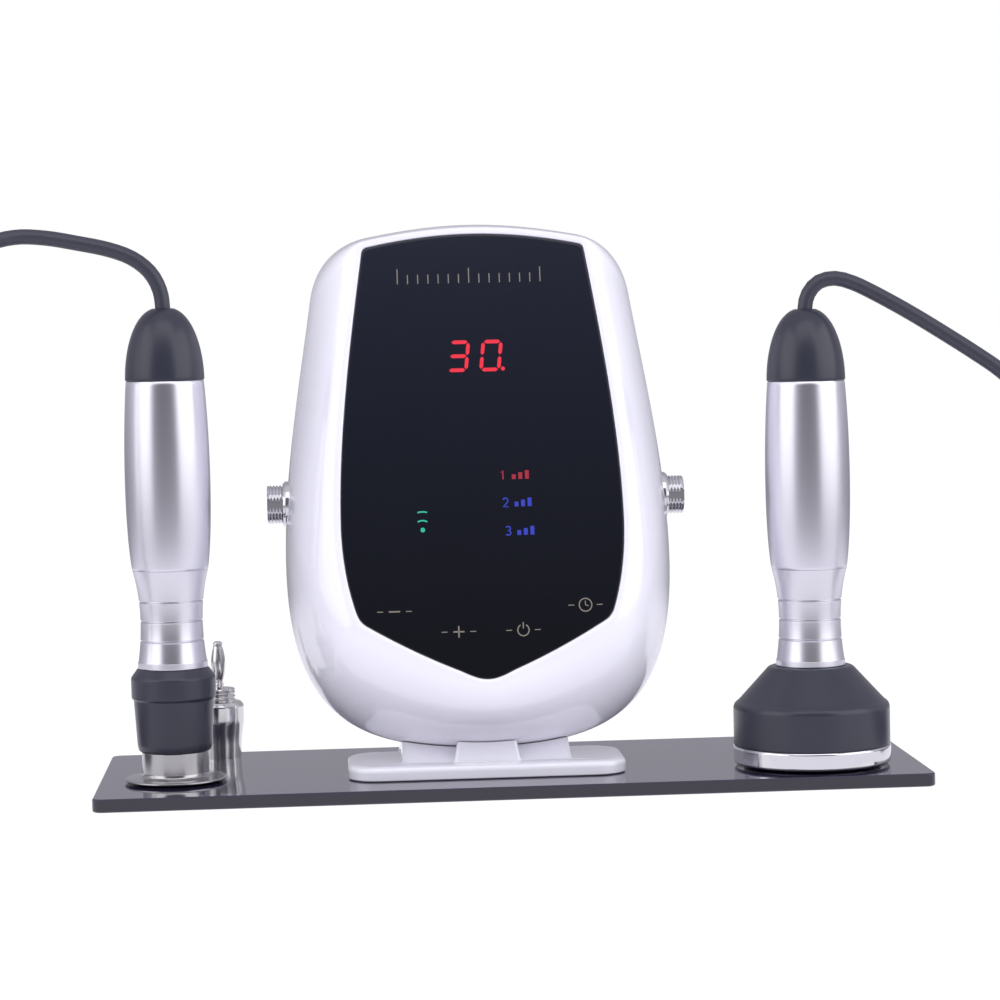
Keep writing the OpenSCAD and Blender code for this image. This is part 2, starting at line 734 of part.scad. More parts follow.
module socket_inserts() {
    insert_r = thread_d / 2 - 1.2 - run;
    color("#d8cfa8") both_sides() {
        translate([0, 0, socket_x - 9.5]) cylinder(r = insert_r, h = 9.5);
        for (a = [45:90:315]) rotate(a) translate([insert_r * 0.55, 0, socket_x])
            cylinder(r = 0.5, h = nut_t + thread_out - 1.5);
    }
}

// ---------------------------------------------------------------- handpieces

// Outer curves as [radius, height above the handle's lower end]
function waist_curve() = let (start = band_r - 0.2, pull = (8 * waist_r - start - split_r) / 6)
    curve([[start, band_h], [pull + 0.25, waist_len / 3], [pull - 0.25, waist_len * 2 / 3],
           [split_r, waist_len]], 14);
function barrel_curve() = let (l = handle_len - waist_len,
    pull = (8 * belly_r - split_r - barrel_top_r) / 6)
    curve([[split_r, waist_len], [pull + 0.1, waist_len + l * 0.21], [pull, handle_len - l * 0.31],
           [barrel_top_r, handle_len]], 16);
cap_tip_r = 3.3;
function cap_curve(off = 0) = curve([[barrel_top_r + 0.2 - off, 0], [barrel_top_r + 0.3 - off, cap_len * 0.37],
    [(barrel_top_r + 0.2) * 0.8 - off, cap_len * 0.9], [cap_tip_r, cap_len - off]], 12);

barrel_in_r = split_r - handle_wall - 0.6;
skirt_len = 4;

module cap() {
    color("#474a58") difference() {
        union() {
            turned(concat([[0, 0]], cap_curve(), [[0, cap_len]]));
            translate([0, 0, -skirt_len]) cylinder(r = barrel_in_r - fit, h = skirt_len + 1);
        }
        turned(concat([[0, -skirt_len - 1], [barrel_in_r - handle_wall, -skirt_len - 1],
                       [barrel_in_r - handle_wall, 0]],
                      [for (p = cap_curve(handle_wall)) if (p.y > 0.5 && p.x > 5) p],
                      [[5, cap_len - 2 * handle_wall], [0, cap_len - 2 * handle_wall]]));
        cylinder(r = cord_hole_r, h = cap_len + 1);
    }
}

module barrel() {
    color("#c9c8d4") difference() {
        turned(concat([[0, waist_len]], barrel_curve(), [[0, handle_len]]));
        translate([0, 0, waist_len - eps]) cylinder(r = barrel_in_r, h = handle_len);
    }
}

module waist() {
    color("#b9b8c4") difference() {
        union() {
            turned(concat([[0, 0], [band_r, 0], [band_r, band_h]], waist_curve(), [[0, waist_len]]));
            translate([0, 0, waist_len - eps]) cylinder(r = barrel_in_r - fit, h = 4);
        }
        translate([0, 0, -eps]) cylinder(r = spigot_r + fit, h = foot_in_waist + 2 * eps);
        translate([0, 0, foot_in_waist]) cylinder(r = core_r + fit, h = waist_len + 10);
        for (z = [0.28, 0.48, 0.68]) translate([0, 0, z * waist_len]) groove();
    }
}

// Shallow ring groove around the waist
module groove() {
    rotate_extrude() polygon([[waist_r - 0.45, 0], [band_r + 2, -0.35], [band_r + 2, 0.35]]);
}

module core() {
    top = handle_len - skirt_len - 2;
    color("#5a5b60") difference() {
        translate([0, 0, foot_in_waist]) cylinder(r = core_r, h = top - foot_in_waist);
        translate([0, 0, foot_in_waist - eps]) cylinder(r = jack_r + fit, h = jack_len + 2);
        translate([0, 0, foot_in_waist + jack_len + 1]) cylinder(r = core_r - 1.5, h = handle_len);
    }
}

module jack() {
    color("#c8a24a") translate([0, 0, foot_in_waist]) difference() {
        cylinder(r = jack_r, h = jack_len);
        translate([0, 0, -eps]) cylinder(r = pin_d / 2 + run, h = pin_len + 1);
    }
}

// Clamp that grips the cord: it stands on the core and fills the cap's neck
module cord_clamp() {
    base = handle_len - skirt_len - 2;
    color("#2a2a2e") translate([0, 0, base]) difference() {
        cylinder(r = core_r - 0.6, h = clamp_h);
        translate([0, 0, -eps]) cylinder(r = cord_d / 4, h = clamp_h + 1);
    }
}

module at_left() {
    translate([left_x, left_y, small_top]) children();
}
module at_right() {
    translate([right_x, right_y, large_top]) children();
}

module left_cap() { at_left() translate([0, 0, handle_len]) cap(); }
module left_barrel() { at_left() barrel(); }
module left_waist() { at_left() waist(); }
module left_core() { at_left() core(); }
module left_jack() { at_left() jack(); }
module left_cord_clamp() { at_left() cord_clamp(); }
module right_cap() { at_right() translate([0, 0, handle_len]) cap(); }
module right_barrel() { at_right() barrel(); }
module right_waist() { at_right() waist(); }
module right_core() { at_right() core(); }
module right_jack() { at_right() jack(); }
module right_cord_clamp() { at_right() cord_clamp(); }

// ---------------------------------------------------------------- heads

// Threaded spigot on top of a head, from height z
module spigot(z) {
    difference() {
        translate([0, 0, z - 1]) cylinder(r = spigot_r, h = spigot_len + 1);
        for (i = [0:2]) translate([0, 0, z + 0.7 + i * spigot_len / 3.4]) rotate_extrude()
            polygon([[spigot_r + 0.2, -0.2], [spigot_r + 0.2, 0.9], [spigot_r - 0.4, 0.5], [spigot_r - 0.4, 0.2]]);
    }
}

// Contact pin whose shank starts at depth below the spigot's top, at height z
module contact_pin(z, depth, bulge_r) {
    l = pin_len;
    turned([[0, z - depth], [0.8, z - depth], [0.8, z + l * 0.14], [pin_d * 0.36, z + l * 0.2],
            [bulge_r * 0.9, z + l * 0.35], [bulge_r, z + l * 0.5], [bulge_r * 0.9, z + l * 0.68],
            [pin_d * 0.4, z + l * 0.88], [pin_d * 0.33, z + l * 0.94], [0.2, z + l], [0, z + l]]);
}
pin_root = 8;                                 // length of a pin's shank inside its head

module small_grip() {
    h = small_h;
    color("#3f414d") at_left_head() difference() {
        union() {
            turned([[0, 9.6], [10.5, 9.6], [10.95, 10], [11.4, 11.6], [12.2, h - 9.5], [12.85, h - 9],
                    [12.85, h - 3], [12.6, h - 2.4], [10.85, h], [0, h]]);
            spigot(h);
        }
        translate([0, 0, 8]) cylinder(r = 6 + fit, h = 12);
        cylinder(r = 0.8 + run, h = h + spigot_len + 1);
    }
}

module at_left_head() {
    translate([left_x, left_y, plate_t]) children();
}
module at_right_head() {
    translate([right_x, right_y, plate_t]) children();
}

// Domed underside: flat spot in the middle, then a shallow crown out to radius r
function crown(r, h) = [for (i = [0:6]) [3 + (r - 3) * i / 6, h * pow(i / 6, 2)]];

module small_electrode() {
    color("#bdbab8") at_left_head() difference() {
        turned(concat([[0, 0]], crown(disc_r - 0.3, 0.6), [[disc_r, 0.85], [disc_r, 1.2], [disc_r - 0.4, 1.5],
            [11.2, 1.7], [10.4, 2.1], [10.2, 2.9], [10.2, 9.6 - fit], [6, 9.6 - fit], [6, 19], [0, 19]]));
        translate([0, 0, 16]) cylinder(r = 0.8 + run, h = 5);
    }
}

module small_pin() {
    color("#c9b27a") at_left_head()
        contact_pin(small_h + spigot_len, small_h + spigot_len - 19.5, pin_d / 2);
}

module large_bell() {
    h = large_h;
    color("#3f414d") at_right_head() difference() {
        union() {
            turned([[0, 6.3], [bell_r, 6.3], [bell_r, h - 12.6], [bell_r - 0.35, h - 11.7],
                    [bell_r - 1.3, h - 10.9], [14.2, h - 1.6], [13.2, h - 0.5], [12.4, h], [0, h]]);
            spigot(h);
        }
        turned([[0, 6], [bell_r - 2, 6], [bell_r - 2, h - 14], [12.6, h - 5.5], [0, h - 5.5]]);
        cylinder(r = 0.8 + run, h = h + spigot_len + 1);
    }
}

module large_rim() {
    color("#cfced2") at_right_head()
        turned([[bell_r - 3, 1.2], [bell_r - 0.6, 0.6], [bell_r + 0.2, 1.2], [bell_r + 0.2, 5.8],
                [bell_r - 0.1, 6.3 - eps], [bell_r - 3, 6.3 - eps]]);
}

module large_face() {
    face_r = bell_r - 3 - fit;
    color("#b8b5b4") at_right_head()
        turned(concat([[0, 0]], crown(face_r, 0.6), [[face_r, 6.3], [bell_r - 2.1, 6.3 + eps],
            [bell_r - 2.1, 8], [0, 8]]));
}

module large_contact() {
    color("#c8a24a") at_right_head() difference() {
        translate([0, 0, 8]) cylinder(r = 4, h = large_h - 8 - 5.5 - fit);
        translate([0, 0, large_h - 5.5 - pin_root]) cylinder(r = 0.8 + run, h = pin_root + 1);
    }
}

module large_pin() {
    color("#c9b27a") at_right_head()
        contact_pin(large_h + spigot_len, spigot_len + 5.5 + pin_root - 1, pin_d / 2);
}

module at_spare() {
    translate([spare_x, spare_y, plate_t]) children();
}

module probe_body() {
    h = probe_h;
    color("#bdbab8") at_spare() difference() {
        union() {
            turned([[0, 0], [probe_r - 1.35, 0], [probe_r - 1.15, 0.3], [probe_r - 0.8, h - 11.7],
                    [probe_r - 0.25, h - 8], [probe_r, h - 6.5], [probe_r, h - 1.1], [probe_r - 1.1, h], [0, h]]);
            spigot(h);
        }
        translate([0, 0, h - pin_root]) cylinder(r = 0.8 + run, h = pin_root + spigot_len + 1);
    }
}

module probe_pin() {
    color("#c9b27a") at_spare()
        contact_pin(probe_h + spigot_len, spigot_len + pin_root - 0.5, pin_d / 2 + 0.35);
}

// ---------------------------------------------------------------- cords and plugs

module left_cord() { color("#454855") sweep(left_route, cord_d); }
module right_cord() { color("#454855") sweep(right_route, cord_d); }

module coil() {
    color("#454855") rotate_extrude() translate([coil_out_r - coil_across * cord_d, 0])
        square([coil_across * cord_d, coil_layers * cord_d]);
}
module left_coil() { translate([-coil_x, coil_y, 0]) coil(); }
module right_coil() { translate([coil_x, coil_y, 0]) coil(); }

// The plug lies along -Y from the coil's outer turn, its nut on the ground
module at_plug(side) {
    translate([side * (coil_x + coil_out_r - cord_d / 2), coil_y - 18.6, plug_nut_r]) rotate([90, 0, 0])
        children();
}

module plug_body() {
    color("#3a3b42") difference() {
        union() {
            turned([[0, 0], [3.4, 0], [4.4, 9], [6.2, 11], [6.2, plug_len - 11], [0, plug_len - 11]]);
            translate([0, 0, plug_len - 11]) cylinder(r = 5, h = 9);
        }
        translate([0, 0, plug_len - 9]) cylinder(r = 4.2, h = 10);
        translate([0, 0, -eps]) cylinder(r = 1.2, h = plug_len);
    }
}
module plug_insert() {
    color("#d8cfa8") difference() {
        translate([0, 0, plug_len - 9]) cylinder(r = 4.2 - run, h = 6);
        for (a = [45:90:315]) rotate(a) translate([2.6, 0, plug_len - 8]) cylinder(r = 0.6, h = 8);
    }
}
module plug_nut() {
    color("#cfced2") translate([0, 0, plug_len - 11 + fit]) difference() {
        turned([[0, 0], [plug_nut_r - 0.4, 0], [plug_nut_r, 0.4], [plug_nut_r, 10.4], [plug_nut_r - 0.4, 11 - fit],
                [0, 11 - fit]]);
        translate([0, 0, -eps]) cylinder(r = 5 + fit, h = 12);
        translate([0, 0, 3]) cylinder(r = thread_d / 2 + run, h = 12);
    }
}
module left_plug_body() { at_plug(-1) plug_body(); }
module left_plug_insert() { at_plug(-1) plug_insert(); }
module left_plug_nut() { at_plug(-1) plug_nut(); }
module right_plug_body() { at_plug(1) plug_body(); }
module right_plug_insert() { at_plug(1) plug_insert(); }
module right_plug_nut() { at_plug(1) plug_nut(); }

// ---------------------------------------------------------------- the nodes

base_plate();
foot();
foot_screws();
front_shell();
rear_shell();
case_screws();
touch_panel();
panel_gasket();
display_board();
display_screws();
digit_display();
lit_segments();
indicator_lamps();
key_springs();
main_board();
board_screws();
rf_transformer();
heat_sink();
power_transistors();
filter_capacitors();
buzzer();
switch_frame();
power_rocker();
dc_inlet();
socket_shells();
socket_nuts();
socket_inserts();
left_cap();
left_barrel();
left_waist();
left_core();
left_jack();
left_cord_clamp();
left_cord();
right_cap();
right_barrel();
right_waist();
right_core();
right_jack();
right_cord_clamp();
right_cord();
small_grip();
small_electrode();
small_pin();
large_bell();
large_rim();
large_face();
large_contact();
large_pin();
probe_body();
probe_pin();
left_coil();
left_plug_body();
left_plug_insert();
left_plug_nut();
right_coil();
right_plug_body();
right_plug_insert();
right_plug_nut();
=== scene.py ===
"""Facial toning console with two lift-off handpieces and a spare probe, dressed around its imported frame.

Sizes in the classes are millimetres, in the frame of the construction: +Z up, the front faces -Y, the
origin is the middle of the base plate's underside. Meshes are written in metres.
"""

from __future__ import annotations

import logging
from dataclasses import dataclass, field
from enum import Enum
from typing import Callable, Sequence, Union

import bmesh
import bpy
import numpy as np
from mathutils import Matrix


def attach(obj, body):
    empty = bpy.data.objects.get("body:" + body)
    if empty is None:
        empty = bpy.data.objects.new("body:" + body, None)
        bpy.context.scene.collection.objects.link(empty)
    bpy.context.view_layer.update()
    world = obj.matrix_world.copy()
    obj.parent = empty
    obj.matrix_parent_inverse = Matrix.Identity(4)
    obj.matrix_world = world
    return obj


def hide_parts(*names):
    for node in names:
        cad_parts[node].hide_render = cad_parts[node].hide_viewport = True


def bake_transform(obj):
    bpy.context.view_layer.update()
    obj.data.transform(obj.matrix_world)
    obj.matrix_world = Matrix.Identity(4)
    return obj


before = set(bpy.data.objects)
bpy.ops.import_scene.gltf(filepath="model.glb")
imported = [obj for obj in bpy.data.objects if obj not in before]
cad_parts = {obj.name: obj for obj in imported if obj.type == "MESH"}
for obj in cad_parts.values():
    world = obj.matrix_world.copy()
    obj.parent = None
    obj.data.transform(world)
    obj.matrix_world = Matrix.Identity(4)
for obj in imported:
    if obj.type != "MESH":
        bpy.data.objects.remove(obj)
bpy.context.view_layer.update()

LOG = logging.getLogger("toning_console")
MM = 0.001
TURN = 2 * np.pi
WELD = 2e-6  # metres between points that count as one
CONTACT_ANGLES = np.radians([45, 135, 225, 315])
CONTACT_CIRCLE = 2.6  # radius on which the contacts of a plug and a socket stand
Array = np.ndarray
Corner = tuple[float, float, float]


# ------------------------------------------------------------------------------------------- curves


def bezier(control: Sequence[Sequence[float]], t: Array) -> Array:
    """Cubic Bezier curve: the four control points weighted by the Bernstein polynomials of t.

    Args:
        control: Four points of two or three numbers.
        t: Places along the curve, from 0 to 1.

    Returns:
        One point for each place.
    """
    p = np.asarray(control, float)
    w = np.stack([(1 - t) ** 3, 3 * (1 - t) ** 2 * t, 3 * (1 - t) * t**2, t**3], -1)
    return w @ p


def unit(v: Array) -> Array:
    """Vectors divided by their lengths."""
    return v / np.linalg.norm(v, axis=-1, keepdims=True)


CUT_SHARE = 0.45  # most of a side that a corner's curve may take
HOLD_SHARE = 0.48  # most of a side that lies between a corner and its holding point
HOLD_REACH = 1.3  # distance of a holding point from its corner, in cuts


def rounded(corners: Sequence[Corner], steps: int = 6) -> Array:
    """Polyline whose corners are turned by short curves.

    Each corner with a cut c becomes a quadratic curve that leaves the two straight sides c before and
    after it, held by one more point on each side so that smooth shading keeps the straight sides flat.

    Args:
        corners: Points (across, along, cut); the first and the last stay sharp.
        steps: Pieces in each corner's curve.

    Returns:
        Points of the profile, in order.
    """
    p = np.asarray(corners, float)
    points = [p[:1, :2]]
    t = np.linspace(0, 1, steps + 1)[:, None]
    for before, here, after in zip(p[:-2], p[1:-1], p[2:]):
        back, ahead = before[:2] - here[:2], after[:2] - here[:2]
        side = min(np.linalg.norm(back), np.linalg.norm(ahead))
        cut = min(here[2], CUT_SHARE * side)
        if cut <= 0:
            points.append(here[None, :2])
            continue
        hold = min(HOLD_REACH * cut, HOLD_SHARE * side)
        start, end = here[:2] + cut * unit(back), here[:2] + cut * unit(ahead)
        arc = (1 - t) ** 2 * start + 2 * (1 - t) * t * here[:2] + t**2 * end
        points += [here[None, :2] + hold * unit(back), arc, here[None, :2] + hold * unit(ahead)]
    points.append(p[-1:, :2])
    return np.concatenate(points)


def joined(*pieces: Union[Array, Sequence[Sequence[float]]]) -> Array:
    """Profiles one after another as one array of points."""
    return np.concatenate([np.atleast_2d(np.asarray(p, float)) for p in pieces])


def along_route(points: Array, spacing: float) -> Array:
    """Smooth line through a route's points.

    Between neighbours the line is a Catmull-Rom cubic: each point's slope is half the step from the
    point before it to the point after it.

    Args:
        points: The route's points, in order.
        spacing: Distance wanted between the line's points.

    Returns:
        Points about one spacing apart, the first and the last of the route among them.
    """
    p = np.concatenate([[2 * points[0] - points[1]], points, [2 * points[-1] - points[-2]]])
    line = []
    for a, b, c, d in zip(p[:-3], p[1:-2], p[2:-1], p[3:]):
        t = np.linspace(0, 1, max(2, int(np.ceil(np.linalg.norm(c - b) / spacing)) + 1))[:-1, None]
        line.append(b + 0.5 * t * (c - a) + t**2 * (a - 2.5 * b + 2 * c - 0.5 * d)
                    + t**3 * (-0.5 * a + 1.5 * b - 1.5 * c + 0.5 * d))
    return np.concatenate(line + [points[-1:]])


# ------------------------------------------------------------------------------------------- meshes


def grid_faces(rows: int, columns: int, wrap_rows: bool = False, wrap_columns: bool = False) -> Array:
    """Quads of a grid of points, wound so that (along rows) x (along columns) points out.

    Args:
        rows: Points in the first direction.
        columns: Points in the second direction.
        wrap_rows: Whether the last row joins the first.
        wrap_columns: Whether the last column joins the first.

    Returns:
        Four point numbers for each quad.
    """
    r = np.arange(rows if wrap_rows else rows - 1)[:, None]
    c = np.arange(columns if wrap_columns else columns - 1)[None, :]
    r2, c2 = (r + 1) % rows, (c + 1) % columns
    corners = (r * columns + c, r2 * columns + c, r2 * columns + c2, r * columns + c2)
    return np.stack([np.broadcast_to(q, (r.size, c.size)) for q in corners], -1).reshape(-1, 4)


@dataclass
class Form:
    """Points in millimetres and the faces between them, as they gather into one piece."""

    points: Array = field(default_factory=lambda: np.zeros((0, 3)))
    faces: list = field(default_factory=list)

    def add(self, points: Array, faces: Sequence[Sequence[int]]) -> "Form":
        """Adds points of any grid shape and faces that number them from 0.

        Args:
            points: Points in millimetres.
            faces: Point numbers of each face.

        Returns:
            This form.
        """
        start = len(self.points)
        self.points = np.concatenate([self.points, points.reshape(-1, 3)])
        self.faces += [[int(i) + start for i in face] for face in faces]
        return self

    def sheet(self, grid: Array, wrap_rows: bool = False, wrap_columns: bool = False) -> "Form":
        """Adds a grid of points as quads."""
        return self.add(grid, grid_faces(grid.shape[0], grid.shape[1], wrap_rows, wrap_columns))

    def lathe(self, profile: Array, centre: Sequence[float], axis: str = "+z", around: int = 96,
              relief: Callable[[Array, Array], Array] | None = None) -> "Form":
        """Adds a solid of revolution.

        A profile point (r, h) goes to r * cos(v), r * sin(v), h, with v once round the axis; a profile
        that rises on the outside gives faces that point out. Ends on the axis are closed by the weld.

        Args:
            profile: Points (radius, height along the axis).
            centre: Where height 0 lies on the axis.
            axis: Direction of the height: +z, -z, +x, -x, +y or -y.
            around: Points in one turn.
            relief: Depth to take off the radius, from the angle and the height.

        Returns:
            This form.
        """
        v = np.linspace(0, TURN, around, endpoint=False)[:, None]
        h = profile[None, :, 1] + 0 * v
        r = profile[None, :, 0] - (relief(v, h) if relief else 0)
        turned = np.stack([r * np.cos(v), r * np.sin(v), h], -1)
        return self.sheet(placed(turned, centre, axis), wrap_rows=True)

    def loft(self, rings: Array) -> "Form":
        """Adds a closed solid over rings that run clockwise as seen from where the rings go.

        Args:
            rings: Rings of equally many points.

        Returns:
            This form.
        """
        count, around = rings.shape[:2]
        self.sheet(rings, wrap_columns=True)
        first = len(self.points) - count * around
        last = first + (count - 1) * around
        self.faces += [[first + j for j in range(around)], [last + j for j in reversed(range(around))]]
        return self

    def merged(self, other: "Form") -> "Form":
        """Adds another form's points and faces."""
        return self.add(other.points, other.faces)

    def build(self, name: str, sharp: float = 40) -> bpy.types.Object:
        """Makes the mesh object: doubles welded, faces smooth except over sharp edges.

        Args:
            name: The piece's name.
            sharp: Angle between faces, in degrees, from which an edge stays sharp.

        Returns:
            The new object, at the origin.
        """
        mesh = bpy.data.meshes.new(name)
        mesh.from_pydata((self.points * MM).tolist(), [], self.faces)
        weld = bmesh.new()
        weld.from_mesh(mesh)
        bmesh.ops.remove_doubles(weld, verts=weld.verts, dist=WELD)
        if weld.calc_volume(signed=True) < 0:
            bmesh.ops.reverse_faces(weld, faces=weld.faces)
        weld.to_mesh(mesh)
        weld.free()
        mesh.shade_smooth()
        mesh.set_sharp_from_angle(angle=np.radians(sharp))
        obj = bpy.data.objects.new(name, mesh)
        bpy.context.scene.collection.objects.link(obj)
        return obj


def placed(points: Array, centre: Sequence[float], axis: str = "+z") -> Array:
    """Points whose third coordinate is turned to an axis and whose origin is moved to a centre.

    Args:
        points: Points x, y, z.
        centre: Where their origin goes.
        axis: Where +z turns: +z, -z, +x, -x, +y or -y.

    Returns:
        The turned and moved points.
    """
    x, y, z = points[..., 0], points[..., 1], points[..., 2]
    turned = {"+z": (x, y, z), "-z": (x, -y, -z), "+x": (z, x, y), "-x": (-z, -x, y),
              "+y": (-x, z, y), "-y": (x, -z, y)}[axis]
    return np.stack(turned, -1) + np.asarray(centre, float)


class Solid(Enum):
    """How two solids are put together."""

    CUT = "DIFFERENCE"
    JOIN = "UNION"
    KEEP = "INTERSECT"


def carve(obj: bpy.types.Object, other: bpy.types.Object, how: Solid = Solid.CUT) -> None:
    """Cuts, joins or keeps an object's volume with another's, and deletes the other.

    Args:
        obj: The solid that is changed.
        other: The solid that works on it.
        how: Cut, join or keep what both share.
    """
    tool = obj.modifiers.new("solid", "BOOLEAN")
    tool.operation = how.value
    tool.solver = "EXACT"
    tool.object = other
    with bpy.context.temp_override(object=obj, active_object=obj, selected_objects=[obj]):
        bpy.ops.object.modifier_apply(modifier=tool.name)
    bpy.data.objects.remove(other)


# ---------------------------------------------------------------------------------------- materials


class Wire:
    """A node's output socket; arithmetic on wires and numbers adds Math nodes."""

    def __init__(self, maker: "Shading", socket: bpy.types.NodeSocket) -> None:
        """Keeps the socket and the tree that it belongs to."""
        self.maker = maker
        self.socket = socket

    def _math(self, operation: str, first: "Value", second: "Value" = 0.0) -> "Wire":
        """Math node on two values."""
        return self.maker.node("ShaderNodeMath", {"operation": operation}, {0: first, 1: second})

    def __add__(self, other: "Value") -> "Wire":
        """Sum of two values."""
        return self._math("ADD", self, other)

    def __sub__(self, other: "Value") -> "Wire":
        """Difference of two values."""
        return self._math("SUBTRACT", self, other)

    def __rsub__(self, other: "Value") -> "Wire":
        """Difference from a number."""
        return self._math("SUBTRACT", other, self)

    def __mul__(self, other: "Value") -> "Wire":
        """Product of two values."""
        return self._math("MULTIPLY", self, other)

    def __pow__(self, other: "Value") -> "Wire":
        """Power of a value."""
        return self._math("POWER", self, other)

    def __rpow__(self, other: "Value") -> "Wire":
        """Number to the power of a value."""
        return self._math("POWER", other, self)

    def absolute(self) -> "Wire":
        """Value without its sign."""
        return self._math("ABSOLUTE", self)

    def above(self, limit: float) -> "Wire":
        """One where the value is over a limit, else zero."""
        return self._math("GREATER_THAN", self, limit)

    __radd__ = __add__
    __rmul__ = __mul__


Value = Union[Wire, float]
Colour = tuple[float, float, float]


class Shading:
    """Node tree of a material or the world, made node by node."""

    def __init__(self, tree: bpy.types.NodeTree) -> None:
        """Empties the tree."""
        tree.nodes.clear()
        self.tree = tree

    def node(self, kind: str, settings: dict | None = None, inputs: dict | None = None,
             output: Union[int, str] = 0) -> Wire:
        """Adds a node.

        Args:
            kind: The node's type name.
            settings: Properties set first; "stops" holds a colour ramp's places and colours.
            inputs: Values or wires by the input's name or number.
            output: The output that is handed back.

        Returns:
            The wire from that output.
        """
        made = self.tree.nodes.new(kind)
        for key, value in (settings or {}).items():
            if key == "stops":
                ramp = made.color_ramp
                for place, _ in value[2:]:
                    ramp.elements.new(place)
                for element, (place, colour) in zip(ramp.elements, sorted(value)):
                    element.position = place
                    element.color = (*colour, 1)
            else:
                setattr(made, key, value)
        for key, value in (inputs or {}).items():
            socket = made.inputs[key]
            if isinstance(value, Wire):
                self.tree.links.new(value.socket, socket)
            elif isinstance(value, tuple) and len(value) == 3 and socket.type == "RGBA":
                socket.default_value = (*value, 1)
            else:
                socket.default_value = value
        return Wire(self, made.outputs[output])

    def place(self, scale: Sequence[float] = (1, 1, 1), centre: Sequence[float] = (0, 0, 0)) -> Wire:
        """Object coordinates in millimetres, stretched by scale about a centre.

        Args:
            scale: Stretch along each axis.
            centre: Point that stays at 0.

        Returns:
            The wire of the coordinates.
        """
        here = self.node("ShaderNodeTexCoord", output="Object")
        factor = tuple(s / MM for s in scale)
        offset = tuple(-c * s for c, s in zip(centre, scale))
        return self.node("ShaderNodeMapping", inputs={"Vector": here, "Scale": factor, "Location": offset})

    def part(self, vector: Wire, letter: str) -> Wire:
        """One coordinate of a vector."""
        return self.node("ShaderNodeSeparateXYZ", inputs={0: vector}, output=letter)

    def noise(self, vector: Wire, size: float, detail: float = 2.0) -> Wire:
        """Noise from 0 to 1 whose lumps are size millimetres across."""
        return self.node("ShaderNodeTexNoise", inputs={"Vector": vector, "Scale": 1 / size, "Detail": detail})

    def mix(self, factor: Value, low: Union[Colour, Wire], high: Union[Colour, Wire]) -> Wire:
        """Colour between two colours."""
        return self.node("ShaderNodeMix", {"data_type": "RGBA"}, {0: factor, 6: low, 7: high}, output=2)

    def ramp(self, value: Wire, start: float, end: float, low: float, high: float) -> Wire:
        """Soft step from low to high as a value goes from start to end."""
        return self.node("ShaderNodeMapRange", {"interpolation_type": "SMOOTHSTEP"},
                         {0: value, 1: start, 2: end, 3: low, 4: high})

    def close(self, surface: Wire, kind: str = "ShaderNodeOutputMaterial") -> None:
        """Joins a surface to the output of the material or the world."""
        out = self.tree.nodes.new(kind)
        self.tree.links.new(surface.socket, out.inputs["Surface"])


class Grain(Enum):
    """Way in which a surface was made, as the layers of noise in its fine relief.

    A layer is the stretch of the coordinates, the size of the lumps, their detail and their weight.
    """

    MOULDED = (((1, 1, 1), 0.45, 3, 1.0),)
    POLISHED = (((1, 1, 1), 14.0, 1, 1.0),)
    TURNED = (((0.02, 0.02, 1), 0.12, 3, 0.8), ((1, 1, 1), 0.5, 2, 0.2))
    DRAWN = (((1, 1, 0.03), 0.15, 3, 1.0),)
    LAMINATE = (((1, 1, 0.15), 0.8, 2, 0.5), ((0.15, 1, 1), 0.8, 2, 0.5))


CLOUD_SIZE = 22.0  # millimetres across the soft clouds in colour and roughness
GRAIN_SHARE = 0.35  # share of the roughness that follows a turned or drawn grain
BUMP_STRENGTH = 0.6
COAT_ROUGHNESS = 0.06


